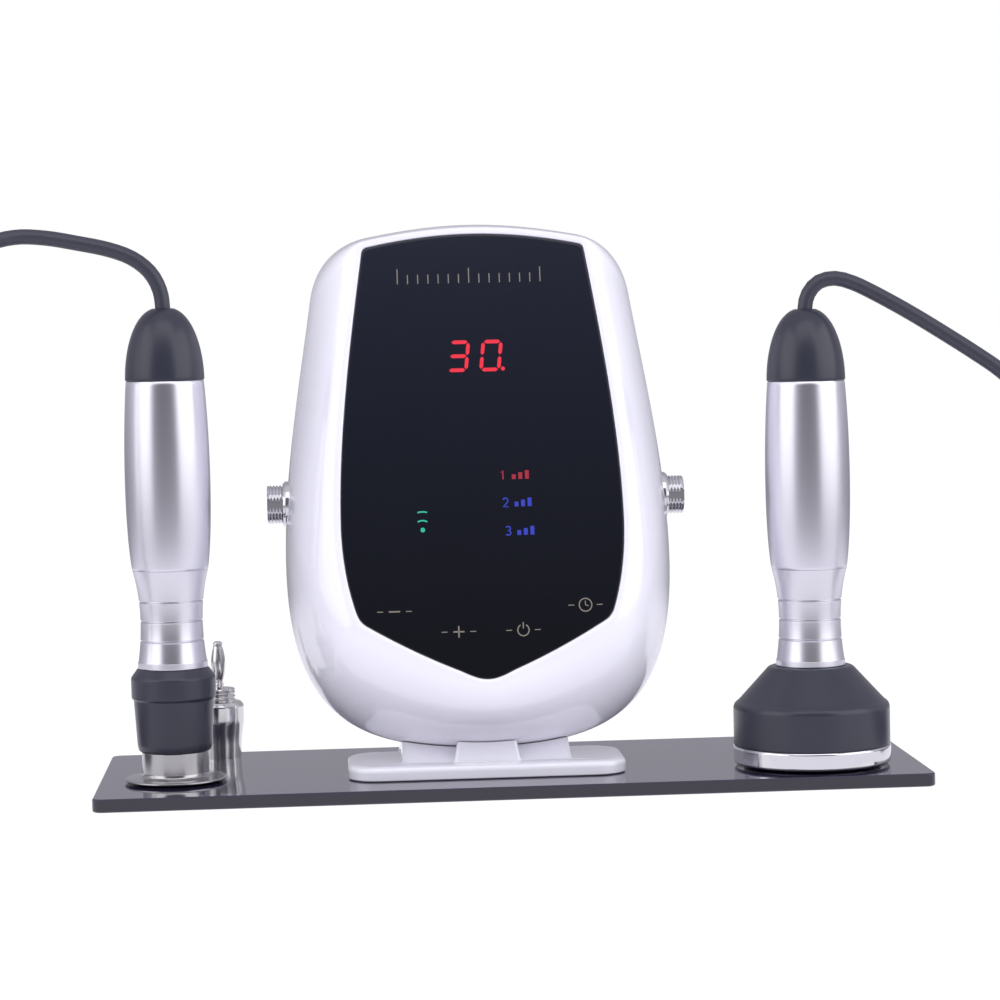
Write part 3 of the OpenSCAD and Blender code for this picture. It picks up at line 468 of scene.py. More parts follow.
@dataclass(frozen=True)
class Finish:
    """Surface finish of one material slot.

    Attributes:
        slot: The record's slot.
        colour: Base colour, linear.
        roughness: Middle roughness.
        metallic: 1 for metal.
        coat: Weight of a clear gloss layer.
        grain: Kind of relief.
        relief: Depth of the relief in millimetres.
        uneven: Share by which colour and roughness vary in soft clouds.
        glow: Strength of emission in the base colour.
        ior: Refractive index of the surface.
    """

    slot: str
    colour: Colour
    roughness: float
    metallic: float = 0.0
    coat: float = 0.0
    grain: Grain = Grain.MOULDED
    relief: float = 0.004
    uneven: float = 0.06
    glow: float = 0.0
    ior: float = 1.5

    def _grain(self, shade: Shading) -> Wire:
        """Height of the relief from 0 to 1: the weighted sum of the grain's layers."""
        layers = [shade.noise(shade.place(stretch), size, detail) * weight
                  for stretch, size, detail, weight in self.grain.value]
        return sum(layers[1:], layers[0])

    def _colour(self, shade: Shading, cloud: Wire) -> Wire:
        """Base colour, darker by the uneven share where the clouds are thick.

        Args:
            shade: The tree.
            cloud: Soft clouds from 0 to 1.

        Returns:
            The wire of the colour.
        """
        low = tuple(c * (1 - self.uneven) for c in self.colour)
        high = tuple(min(1.0, c * (1 + 0.5 * self.uneven)) for c in self.colour)
        return shade.mix(cloud, low, high)

    def material(self, name: str = "") -> bpy.types.Material:
        """The finish as a material.

        Args:
            name: The material's name; the slot's name if it is left out.

        Returns:
            A new material.
        """
        made = bpy.data.materials.new(name or self.slot)
        made.use_nodes = True
        shade = Shading(made.node_tree)
        cloud = shade.noise(shade.place(), CLOUD_SIZE)
        colour = self._colour(shade, cloud)
        height = self._grain(shade)
        rough = self.roughness * (1 - self.uneven) + cloud * (2 * self.uneven * self.roughness)
        if self.grain in (Grain.TURNED, Grain.DRAWN):
            rough = rough + (height - 0.5) * (GRAIN_SHARE * self.roughness)
        bump = shade.node("ShaderNodeBump", inputs={
            "Strength": BUMP_STRENGTH, "Distance": self.relief * MM, "Height": height})
        inputs = {"Base Color": colour, "Roughness": rough, "Metallic": self.metallic, "IOR": self.ior,
                  "Coat Weight": self.coat, "Coat Roughness": COAT_ROUGHNESS, "Normal": bump}
        if self.glow:
            inputs.update({"Emission Color": colour, "Emission Strength": self.glow})
        surface = shade.node("ShaderNodeBsdfPrincipled", inputs=inputs)
        shade.close(surface)
        return made


@dataclass(frozen=True)
class SmokedSheet(Finish):
    """Glossy smoked sheet, nearly black at its lower tip, with a bluer painted reflection in its colour
    towards its top.
    """

    mottle: float = 0.1
    painted_reflection_colour: Colour = (0.008, 0.010, 0.021)
    low_z: float = 36.0
    high_z: float = 160.0

    def _colour(self, shade: Shading, cloud: Wire) -> Wire:
        """Colour that goes from the base to the painted reflection colour with the height z: a reflection
        painted into the sheet, bluer towards its top.

        Args:
            shade: The tree.
            cloud: Soft clouds from 0 to 1.

        Returns:
            The wire of the colour.
        """
        z = shade.part(shade.place(), "Z")
        # painted reflection: the sheet's colour turns bluer with height, standing in for what its gloss
        # reflects
        share = shade.node("ShaderNodeMapRange", inputs={0: z, 1: self.low_z, 2: self.high_z})
        return shade.mix(share + (cloud - 0.5) * self.mottle, self.colour, self.painted_reflection_colour)


@dataclass(frozen=True)
class CutSheet(Finish):
    """Black cast sheet with a polished top; its upright edge faces are coloured darker, with upright streaks.
    """

    edge_colour: Colour = (0.012, 0.010, 0.020)
    streak_size: float = 9.0
    streak_level: float = 0.8
    upright_from: float = 0.6

    def _colour(self, shade: Shading, cloud: Wire) -> Wire:
        """Base colour on faces that look up or down, edge colour on the upright ones.

        Args:
            shade: The tree.
            cloud: Not used by this finish.

        Returns:
            The wire of the colour.
        """
        normal = shade.node("ShaderNodeNewGeometry", output="Normal")
        upright = 1 - shade.part(normal, "Z").absolute()
        streaks = shade.noise(shade.place((1, 1, 0.1)), self.streak_size)
        low = tuple(self.streak_level * c for c in self.edge_colour)
        edge = shade.mix(streaks, low, self.edge_colour)
        return shade.mix(upright.above(self.upright_from), self.colour, edge)


FINISHES = {f.slot: f for f in (
    CutSheet("black_acrylic", (0.024, 0.019, 0.044), 0.05, coat=0.45, grain=Grain.POLISHED, relief=0.01),
    Finish("white_shell", (0.855, 0.85, 0.905), 0.24, coat=1.0, relief=0.0015, uneven=0.02),
    SmokedSheet("smoked_panel", (0.0035, 0.004, 0.006), 0.16, grain=Grain.POLISHED, relief=0.01, ior=1.45),
    Finish("dark_plastic", (0.028, 0.030, 0.046), 0.30, relief=0.003),
    Finish("barrel_silver", (0.78, 0.77, 0.83), 0.30, 1.0, grain=Grain.TURNED, relief=0.0004, uneven=0.02),
    Finish("waist_metal", (0.78, 0.77, 0.82), 0.30, 1.0, grain=Grain.TURNED, relief=0.0003, uneven=0.02),
    Finish("steel", (0.46, 0.45, 0.45), 0.2, 1.0, grain=Grain.TURNED, relief=0.004),
    Finish("chrome_trim", (0.72, 0.71, 0.73), 0.09, 1.0, grain=Grain.POLISHED, relief=0.002, uneven=0.03),
    Finish("nickel", (0.72, 0.71, 0.70), 0.16, 1.0, grain=Grain.TURNED, relief=0.002),
    Finish("contact_gold", (0.80, 0.64, 0.36), 0.18, 1.0, grain=Grain.TURNED, relief=0.002),
    Finish("cord_sheath", (0.038, 0.041, 0.058), 0.38, relief=0.006),
    Finish("board_green", (0.02, 0.12, 0.05), 0.4, coat=0.3, grain=Grain.LAMINATE, relief=0.02, uneven=0.2),
    Finish("black_parts", (0.022, 0.022, 0.026), 0.5, relief=0.008),
    Finish("insulator", (0.62, 0.55, 0.36), 0.45, relief=0.006),
    Finish("screw_steel", (0.45, 0.45, 0.47), 0.32, 1.0, grain=Grain.TURNED, relief=0.004),
    Finish("lit_red", (0.47, 0.008, 0.022), 0.4, glow=0.8, relief=0.001),
    Finish("lamp_lens", (0.82, 0.82, 0.74), 0.18, coat=0.5, relief=0.002),
    Finish("copper_coil", (0.62, 0.34, 0.12), 0.34, 1.0, grain=Grain.DRAWN, relief=0.05),
    Finish("aluminium_fins", (0.62, 0.62, 0.64), 0.36, 1.0, grain=Grain.DRAWN, relief=0.01),
    Finish("gasket_foam", (0.03, 0.03, 0.034), 0.9, relief=0.05),
)}
DIM_RED = Finish("lit_red", (0.20, 0.006, 0.018), 0.4, glow=0.8, relief=0.001)
LIT_BLUE = Finish("lit_red", (0.012, 0.022, 0.26), 0.4, glow=0.8, relief=0.001)
LIT_GREEN = Finish("lit_red", (0.012, 0.27, 0.16), 0.4, glow=0.8, relief=0.001)
PRINT_GREY = Finish("lamp_lens", (0.21, 0.19, 0.15), 0.5, relief=0.001)


class Paint:
    """Materials that are made once and shared by the pieces."""

    made: dict[str, bpy.types.Material] = {}

    @classmethod
    def of(cls, finish: Finish, name: str = "") -> bpy.types.Material:
        """Material of a finish, made the first time that it is asked for.

        Args:
            finish: The finish.
            name: The material's name; the slot's name if it is left out.

        Returns:
            The shared material.
        """
        key = name or finish.slot
        if key not in cls.made:
            cls.made[key] = finish.material(key)
        return cls.made[key]


def dress(obj: bpy.types.Object, slot: str, body: str | None = "root", replaced: Sequence[str] = (),
          finish: Finish | None = None, name: str = "") -> bpy.types.Object:
    """Finishes a piece: the material of its slot's finish, the body that it rides on, and the hiding of the
    nodes it stands for.

    Args:
        obj: The piece.
        slot: The record's slot.
        body: The body that the piece moves with, or None for a piece that is left without one.
        replaced: Construction nodes that the piece stands for.
        finish: Finish other than the slot's own.
        name: Name of that finish's material.

    Returns:
        The piece.
    """
    obj.data.materials.clear()
    obj.data.materials.append(Paint.of(finish or FINISHES[slot], name))
    if body:
        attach(obj, body)
    if replaced:
        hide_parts(*replaced)
    LOG.info("%s: %d faces, rides on %s", obj.name, len(obj.data.polygons), body or "two bodies")
    return obj


# ------------------------------------------------------------------------------------------- studio


@dataclass
class Studio:
    """Camera, white surroundings and soft lamps around the plate."""

    eye: tuple[float, float, float] = (-56.95, -930.25, 138.88)
    yaw: float = 0.0606
    pitch: float = 0.0559
    roll: float = -0.0226
    lens: float = 108.0
    sensor: float = 36.0
    room: float = 0.86
    near_gloss: float = 1.05
    far_gloss: float = 0.3
    side_gloss: float = 0.75
    back_gloss: float = 0.48
    front_gloss: float = 0.15
    dim_from: float = 0.70
    dim_to: float = 0.88
    back_from: float = -0.75
    room_colour: Colour = (0.90, 0.89, 1.0)
    clip_end: float = 20.0
    table_half: float = 6000.0
    table_drop: float = 0.02
    table_cloud: float = 60.0
    table_colours: tuple[Colour, Colour] = ((0.86, 0.85, 0.89), (0.89, 0.88, 0.92))
    table_roughness: float = 0.8
    table_white: float = 1.08
    table_share: float = 0.86
    sheen_colour: Colour = (0.92, 0.91, 1.0)
    sheen_near: float = 250.0
    sheen_far: float = 1000.0
    sheen_stretch: float = 1.6
    lamp_target: Corner = (0.0, 0.0, 90.0)
    lamps: tuple = (("left_softbox", (-1100, -480, 330), (1120, 1500), 1.1),
                    ("right_softbox", (1040, -600, 330), (1450, 1500), 1.14),
                    ("top_softbox", (0, -850, 1200), (1400, 800), 1.0))

    def camera(self) -> None:
        """Camera at the eye that looks along yaw and pitch, turned by roll about its own axis."""
        sy, cy, sp, cp = np.sin(self.yaw), np.cos(self.yaw), np.sin(self.pitch), np.cos(self.pitch)
        ahead, right = np.array([sy * cp, cy * cp, -sp]), np.array([cy, -sy, 0.0])
        up = np.cross(right, ahead)
        cr, sr = np.cos(self.roll), np.sin(self.roll)
        columns = np.stack([cr * right + sr * up, cr * up - sr * right, -ahead], 1)
        data = bpy.data.cameras.new("camera")
        data.lens, data.sensor_width, data.sensor_fit = self.lens, self.sensor, "HORIZONTAL"
        data.clip_end = self.clip_end
        camera = bpy.data.objects.new("camera", data)
        bpy.context.scene.collection.objects.link(camera)
        turned = Matrix(columns.tolist()).to_4x4()
        turned.translation = [c * MM for c in self.eye]
        camera.matrix_world = turned
        bpy.context.scene.camera = camera

    def world(self) -> None:
        """White behind the object for the camera, a plain lavender-white room for light on matt surfaces.

        Metal and gloss see the same room with a grey back and a dark wedge towards the camera's side.
        """
        world = bpy.data.worlds.new("room")
        world.use_nodes = True
        bpy.context.scene.world = world
        shade = Shading(world.node_tree)
        seen = shade.node("ShaderNodeLightPath", output="Is Camera Ray")
        glossy = shade.node("ShaderNodeLightPath", output="Is Glossy Ray")
        way = shade.node("ShaderNodeTexCoord", output="Generated")
        ahead = shade.part(way, "Y") * -1.0
        front = shade.ramp(ahead, self.dim_from, self.dim_to, self.side_gloss, self.front_gloss)
        back = shade.ramp(ahead, self.back_from, 0.0, self.back_gloss - self.side_gloss, 0.0)
        level = self.room + glossy * (front + back - self.room)
        room = shade.node("ShaderNodeBackground", inputs={"Color": self.room_colour, "Strength": level})
        white = shade.node("ShaderNodeBackground", inputs={"Color": (1, 1, 1), "Strength": 1.0})
        mixed = shade.node("ShaderNodeMixShader", inputs={0: seen, 1: room, 2: white})
        shade.close(mixed, "ShaderNodeOutputWorld")

    def floor(self) -> None:
        """White table top that the camera sees nearly white and that keeps a faint shadow.

        Metal and gloss see it bright near the plate and darker farther out.
        """
        half = self.table_half
        corners = np.array([[[-half, -half, 0], [-half, half, 0]], [[half, -half, 0], [half, half, 0]]])
        table = Form().sheet(corners - [0, 0, self.table_drop]).build("floor")
        made = bpy.data.materials.new("table_white")
        made.use_nodes = True
        shade = Shading(made.node_tree)
        cloud = shade.noise(shade.place(), self.table_cloud)
        matte = shade.node("ShaderNodeBsdfPrincipled", inputs={
            "Base Color": shade.mix(cloud, *self.table_colours), "Roughness": self.table_roughness})
        bright = shade.node("ShaderNodeEmission", inputs={"Color": (1, 1, 1), "Strength": self.table_white})
        here = shade.place()
        far = (shade.part(here, "X") ** 2.0 + (shade.part(here, "Y") * self.sheen_stretch) ** 2.0) ** 0.5
        level = shade.ramp(far, self.sheen_near, self.sheen_far, self.near_gloss, self.far_gloss)
        sheen = shade.node("ShaderNodeEmission", inputs={"Color": self.sheen_colour, "Strength": level})
        glossy = shade.node("ShaderNodeLightPath", output="Is Glossy Ray")
        seen = shade.node("ShaderNodeLightPath", output="Is Camera Ray")
        table_top = shade.node("ShaderNodeMixShader", inputs={0: glossy, 1: matte, 2: sheen})
        shade.close(shade.node("ShaderNodeMixShader", inputs={
            0: seen * self.table_share, 1: table_top, 2: bright}))
        table.data.materials.append(made)

    def softbox(self, name: str, at: Sequence[float], size: tuple[float, float], radiance: float) -> None:
        """Rectangular lamp that faces the middle of the console.

        A lamp of area A whose surface shines with radiance L gives a power of pi * A * L.

        Args:
            name: The lamp's name.
            at: Its middle.
            size: Its width and height.
            radiance: How bright its surface looks, where 1 is white.
        """
        data = bpy.data.lights.new(name, "AREA")
        data.shape, data.size, data.size_y = "RECTANGLE", size[0] * MM, size[1] * MM
        data.energy = np.pi * size[0] * size[1] * MM * MM * radiance
        lamp = bpy.data.objects.new(name, data)
        bpy.context.scene.collection.objects.link(lamp)
        away = unit(np.asarray(at, float) - self.lamp_target)
        right = unit(np.cross([0, 0, 1], away))
        turned = Matrix(np.stack([right, np.cross(away, right), away], 1).tolist()).to_4x4()
        turned.translation = [c * MM for c in at]
        lamp.matrix_world = turned

    def build(self) -> None:
        """Sets up the whole studio."""
        bpy.context.scene.view_settings.view_transform = "Standard"
        self.camera()
        self.world()
        self.floor()
        for lamp in self.lamps:
            self.softbox(*lamp)


# -------------------------------------------------------------------------------------------- leads


def tube(line: Array, radius: Union[float, Array], around: int = 20) -> Form:
    """Round tube along a line, closed by a fan at each end.

    Ring i lies square to the line's direction t: point + radius * (cos(v) * u + sin(v) * t x u), where
    the side vector u is carried from ring to ring without twist.

    Args:
        line: Points of the middle line.
        radius: Radius, or one radius for each point.
        around: Points in one ring.

    Returns:
        The tube as a form.
    """
    t = unit(np.gradient(line, axis=0))
    sides = [unit(np.cross(t[0], [0.0, 1.0, 0.03]))]
    for ahead in t[1:]:
        sides.append(unit(sides[-1] - (sides[-1] @ ahead) * ahead))
    u = np.array(sides)
    v = np.linspace(0, TURN, around, endpoint=False)
    spokes = np.cos(v)[None, :, None] * u[:, None] + np.sin(v)[None, :, None] * np.cross(t, u)[:, None]
    rings = line[:, None] + np.broadcast_to(radius, (len(line),))[:, None, None] * spokes
    grid = np.concatenate([rings[:1] * 0 + line[0], rings, rings[:1] * 0 + line[-1]])
    return Form().sheet(grid[::-1], wrap_columns=True)


@dataclass
class Lead:
    """Lead of a handpiece: its free run, its coil and the plug at its end."""

    side: str
    route: Sequence[Sequence[float]]
    sign: int
    diameter: float = 4.6
    coil_at: tuple[float, float] = (198.0, 15.0)
    turn_radius: float = 25.3
    across: int = 3
    turns: float = 5.5
    plug_ahead: float = 18.6
    plug_length: float = 35.0
    nut_radius: float = 7.4
    tie_width: float = 8.0
    tie_thickness: float = 0.9
    turn_hold: float = 0.72
    layer_rise: float = 0.87
    spacing: float = 3.0
    fall_at: tuple[float, float] = (168.0, -36.0)
    fall_low: float = 34.0
    fall_high: float = 118.0
    in_cap: float = 19.8

    def coil_line(self) -> Array:
        """Middle line of the coil.

        Lower layer: three turns from the outer one inwards; upper layer: the rest, back outwards. In a
        turn the radius holds for most of the way and then moves one diameter over to the next turn.

        Returns:
            Points of the line, from the outer turn on.
        """
        d, count = self.diameter, 48
        n = np.arange(int(self.turns * count) + 1) / count
        whole = np.floor(n)
        step = np.clip((n - whole - self.turn_hold) / (1 - self.turn_hold), 0, 1)
        step = step * step * (3 - 2 * step)
        place = whole + step
        across = np.where(place <= self.across - 1, place, 2 * (self.across - 1) + 1 - place)
        across = np.clip(across, 0, self.across - 1)
        layer = np.clip(place - (self.across - 1), 0, 1)
        radius = self.turn_radius + (1 - across) * d
        angle = n * TURN
        x = self.sign * (self.coil_at[0] - radius * np.cos(angle))
        y, z = self.coil_at[1] + radius * np.sin(angle), d * (0.5 + self.layer_rise * layer)
        return np.stack([x, y, z], -1)

    def build(self) -> None:
        """Makes the lead, its plug and the strap round its coil."""
        end_x = self.sign * (self.coil_at[0] + self.turn_radius + self.diameter)
        plug_y = self.coil_at[1] - self.plug_ahead
        route = np.asarray(self.route, float)
        free = along_route(np.concatenate([route, self.coil_line()[:2]]), self.spacing)[:-2]
        tail = np.array([[end_x, self.coil_at[1] - 6, 6.7], [end_x, plug_y + 5, self.nut_radius],
                         [end_x, plug_y - 4, self.nut_radius]])
        line = np.concatenate([free, self.coil_line()[1:], tail])
        lead = tube(line, self.diameter / 2).build(f"{self.side}_lead")
        dress(lead, "cord_sheath", None, (f"{self.side}_cord", f"{self.side}_coil"))
        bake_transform(lead)
        plug = self.plug((end_x, plug_y, self.nut_radius))
        self.tie()

    def tie(self) -> bpy.types.Object:
        """Soft strap round all turns of the coil, on its rear side, whose end lies over its start.

        Returns:
            The strap.
        """
        d, half, thick = self.diameter, self.tie_width / 2, self.tie_thickness
        inner, outer = self.turn_radius - 1.5 * d - 0.3, self.turn_radius + 1.5 * d + 0.15
        low, high, middle = thick + 0.05, 1.87 * d, self.turn_radius
        cut = d / 2
        loop = rounded([(middle, high, 0), (outer, high, cut), (outer, low, cut), (inner, low, cut),
                        (inner, high, cut), (middle, high, 0)], 6)[:-1]
        along = unit(np.roll(loop, -1, axis=0) - np.roll(loop, 1, axis=0))
        away = np.stack([-along[:, 1], along[:, 0]], 1)
        flap = np.stack([np.linspace(middle - 5, middle + 4, 8), np.full(8, high + thick)], 1)
        lift = np.tile([0.0, 1.0], (8, 1))
        form = Form()
        for line, out, closed in ((loop, away, True), (flap, lift, False)):
            section = np.array([(0, -half), (0.7 * thick, -half), (thick, 0.3 - half), (thick, half - 0.3),
                                (0.7 * thick, half), (0, half)])
            place = line[:, None] + section[None, :, :1] * out[:, None]
            x = np.broadcast_to(section[None, :, 1], place.shape[:2]) + self.sign * self.coil_at[0]
            grid = np.stack([x, self.coil_at[1] + place[..., 0], place[..., 1]], -1)
            if not closed:
                ends = [np.broadcast_to(g.mean(0), g.shape)[None] for g in (grid[0], grid[-1])]
                grid = np.concatenate([ends[0], grid, ends[1]])
            form.sheet(grid, wrap_rows=closed, wrap_columns=True)
        return dress(form.build(f"{self.side}_coil_tie", 40), "black_parts", "root")

    def plug(self, at: Sequence[float]) -> list[bpy.types.Object]:
        """Plug body with a ribbed sleeve, contact insert and knurled coupling nut, along -Y from at.

        Args:
            at: Where the lead enters the plug.

        Returns:
            Plug body, insert and coupling nut.
        """
        length, nut_r = self.plug_length, self.nut_radius
        rib = np.array([(3.35, 0.15), (3.35, 0.55), (2.95, 0.6), (2.95, 0.95)])
        ribs = joined(*[rib + i * np.array([0.07, 0.9]) for i in range(10)])
        shell = rounded([(4.3, 9.3, 0), (6.2, 11.2, 1.0), (6.2, length - 11, 0.3), (5.0, length - 11, 0.1),
                         (5.0, length - 2, 0.4), (4.2, length - 2, 0.2), (4.2, length - 9, 0)])
        body = Form().lathe(joined([(0, 0), (3.2, 0)], ribs, shell, [(0, length - 9)]), at, "-y", 64)
        body = dress(body.build(f"{self.side}_plug_shell"), "dark_plastic", "root",
                     (f"{self.side}_plug_body",))
        insert = Form().lathe(rounded([(0, length - 9, 0), (4.15, length - 9, 0), (4.15, length - 3, 0.4),
                                       (0, length - 3, 0)]), at, "-y", 48)
        for angle in CONTACT_ANGLES:
            spot = np.add(at, [CONTACT_CIRCLE * np.cos(angle), 0, CONTACT_CIRCLE * np.sin(angle)])
            insert.lathe(rounded([(0, length - 3.2, 0), (0.85, length - 3.2, 0), (0.85, length - 2.4, 0.15),
                                  (0.5, length - 2.4, 0.05), (0.5, length - 3.0, 0), (0, length - 3.0, 0)]),
                         spot, "-y", 24)
        insert = dress(insert.build(f"{self.side}_plug_contacts"), "insulator", "root",
                       (f"{self.side}_plug_insert",))
        start = length - 10.9
        grip = joined([(5.1, start), (nut_r - 0.5, start), (nut_r - 0.12, start + 0.25)],
                      np.stack([np.full(12, nut_r), np.linspace(start + 0.7, length - 2.4, 12)], 1),
                      [(nut_r - 0.12, length - 2.0), (nut_r - 0.3, length - 1.8),
                       (nut_r - 0.3, length - 0.5), (nut_r - 0.7, length), (6.3, length),
                       (6.05, length - 0.4), (6.05, start + 3), (5.1, start + 3), (5.1, start)])

        def knurl(v: Array, h: Array) -> Array:
            """Depth of straight flutes round the grip, faded out over half a millimetre at its ends."""
            fade = np.clip(np.minimum(h - start - 0.4, length - 2.1 - h) / 0.5, 0, 1)
            return 0.3 * fade * np.abs(np.sin(16 * v))

        nut = Form().lathe(grip, at, "-y", 192, relief=knurl)
        nut = dress(nut.build(f"{self.side}_plug_ring"), "chrome_trim", f"{self.side}_nut",
                    (f"{self.side}_plug_nut",))
        return [body, insert, nut]


def free_runs() -> list[Lead]:
    """The two leads with their given routes, from inside the cap to the first turn of the coil.

    Returns:
        The left and the right lead.
    """
    left = [[-102.5, -14, 128.5], [-102.5, -14, 139], [-102.5, -14, 148], [-103.3, -14, 154],
            [-106.2, -14, 159.5], [-111.5, -14, 163.8], [-118.5, -15, 166.5], [-127.5, -16, 168.5],
            [-137, -18, 170.2], [-146, -20, 170.5], [-154.5, -23, 168], [-161, -26, 161.5],
            [-165, -29, 153], [-167, -32, 143], [-168, -34, 131], [-168, -35, 119], [-168, -36, 106.5],
            [-168, -36, 94.5], [-168, -36, 82], [-168, -36, 70], [-168, -36, 58], [-168, -36, 46],
            [-168, -36, 34], [-168, -35, 23], [-168, -31, 13], [-168, -24, 6], [-168, -14, 3],
            [-168, -2, 2.5]]
    right = [[93, -18.5, 124], [93, -18.5, 134], [93, -18.5, 143.5], [94.2, -18.5, 148.5],
             [97.5, -18.5, 152], [102.5, -18.5, 153], [108, -18.5, 151.5], [114, -19, 148.5],
             [121, -20, 144.5], [128, -21, 140.2], [136, -22, 135], [144, -24, 129.5], [152, -26, 123.5],
             [159, -29, 116], [164, -32, 107.5], [167, -34, 96.5], [168, -35, 86], [168, -36, 74],
             [168, -36, 62], [168, -36, 50], [168, -36, 38], [168, -35, 26], [168, -32, 15],
             [168, -25, 7], [168, -14, 3], [168, -2, 2.5]]
    return [Lead("left", left, -1), Lead("right", right, 1)]


# ------------------------------------------------------------------------------------ base and foot


def round_outline(size: Sequence[float], radius: float, inset: float = 0.0, arc: int = 12) -> Array:
    """Clockwise outline of a rectangle whose corners are arcs, drawn in by an inset.

    Args:
        size: Width and depth before the inset.
        radius: Corner radius before the inset.
        inset: Distance by which the outline is drawn in.
        arc: Pieces in each corner.

    Returns:
        Points about the middle.
    """
    corner = np.repeat([[1, 1], [1, -1], [-1, -1], [-1, 1]], arc + 1, axis=0)
    start = np.repeat(np.radians([90.0, 0.0, -90.0, -180.0]), arc + 1)
    angle = start - np.tile(np.linspace(0, np.pi / 2, arc + 1), 4)
    spokes = np.stack([np.cos(angle), np.sin(angle)], -1)
    return corner * (np.asarray(size) / 2 - radius) + (radius - inset) * spokes


def round_slab(centre: Sequence[float], size: Sequence[float], radius: float, edge: Array,
               arc: int = 12) -> Form:
    """Slab with rounded corners whose side follows an edge profile.

    The outline is drawn in by the profile's first number at the height of its second, and both ends
    are closed flat.

    Args:
        centre: Middle of the slab in x and y.
        size: Width and depth.
        radius: Corner radius.
        edge: Points (inset, height), from the bottom up.
        arc: Pieces in each corner.

    Returns:
        The slab as a form.
    """
    rings = []
    for inset, height in edge:
        flat = round_outline(size, radius, inset, arc)
        rings.append(np.column_stack([flat + centre, np.full(len(flat), height)]))
    return Form().loft(np.array(rings))


@dataclass
class Base:
    """Black plate and the console's foot."""

    size: tuple[float, float] = (252.0, 94.0)
    thickness: float = 4.0
    corner: float = 3.2
    foot_at: tuple[float, float] = (-7.5, -12.0)
    foot_size: tuple[float, float] = (85.0, 37.0)
    foot_corner: float = 9.5
    slab: float = 4.5
    neck_w: float = 51.5
    neck_gap: float = 0.25
    neck_h: float = 14.0
    neck_back: float = 12.0
    neck_in: float = 6.0
    neck_curve: float = 15.0
    flare: float = 0.6
    flare_share: float = 0.25
    taper: float = 0.6
    buttress: tuple = ((22.6, -0.5, -0.4, 1.4), (21.0, 0.05, 0.15, 1.3), (20.2, 0.25, 0.9, 1.2),
                       (19.6, 0.4, 2.5, 1.2), (16.9, 1.2, 9.0, 1.2), (14.5, 3.0, 12.0, 1.2))
    buttress_back: float = 0.5

    def plate(self) -> None:
        """Plate with a fine polished bevel along both edges."""
        t = self.thickness
        edge = rounded([(0.35, 0, 0), (0, 0.35, 0.05), (0, t - 0.35, 0.05), (0.35, t, 0)], 2)
        hold = joined([(0.6, 0)], edge, [(0.6, t)])
        plate = round_slab((0, 0), self.size, self.corner, hold).build("glossy_base", 25)
        dress(plate, "black_acrylic", "root", ("base_plate",))

    def step(self, front: float, back: float, width: float, radius: float, z: float) -> Array:
        """One level outline of the foot, between its front and its back."""
        middle = (self.foot_at[0], (front + back) / 2)
        return round_slab(middle, (width, back - front), radius, [(0, z)], 6).points

    def foot(self, console: "Console") -> None:
        """Slab, neck and buttress of the foot, cut clear of the console above.

        Each step of the buttress is a width, a distance behind the neck's front, a height over the
        slab and a corner radius.

        Args:
            console: The console that stands on the foot.
        """
        t, front = self.thickness, self.foot_at[1] - self.foot_size[1] / 2
        top = t + self.slab
        edge = rounded([(0.9, t, 0), (0.1, t + 0.35, 0.3), (0.0, top - 1.4, 1.0), (0.5, top - 0.45, 0.8),
                        (2.2, top, 0.9), (4.5, top, 0)], 6)
        slab = round_slab(self.foot_at, self.foot_size, self.foot_corner, edge)
        low, high = top - 0.6, top + self.neck_h
        neck = []
        for share in np.linspace(0, 1, 14):
            flare = self.flare * max(0.0, 1 - share / self.flare_share) ** 2
            y0 = front + self.neck_in + self.neck_curve * (1 - (1 - share) ** 2) - flare
            w = self.neck_w - self.taper * share + 2 * flare
            neck.append(self.step(y0, self.neck_back, w, 3.0, low + (high - low) * share))
        neck = Form().loft(np.array(neck)).build("neck_tool")
        block = [self.step(front + self.neck_in + back, self.buttress_back, w, r, top + height)
                 for w, back, height, r in self.buttress]
        block = Form().loft(np.array(block)).build("block_tool")
        for tool in console.tools(self.neck_gap):
            copy = tool.copy()
            copy.data = tool.data.copy()
            bpy.context.scene.collection.objects.link(copy)
            carve(neck, copy)
            carve(block, tool)
        foot = slab.build("console_foot", 30)
        for tool in (neck, block):
            carve(foot, tool, Solid.JOIN)
        foot.data.set_sharp_from_angle(angle=np.radians(28))
        dress(foot, "white_shell", "root", ("foot",))


# ------------------------------------------------------------------------------------------ console


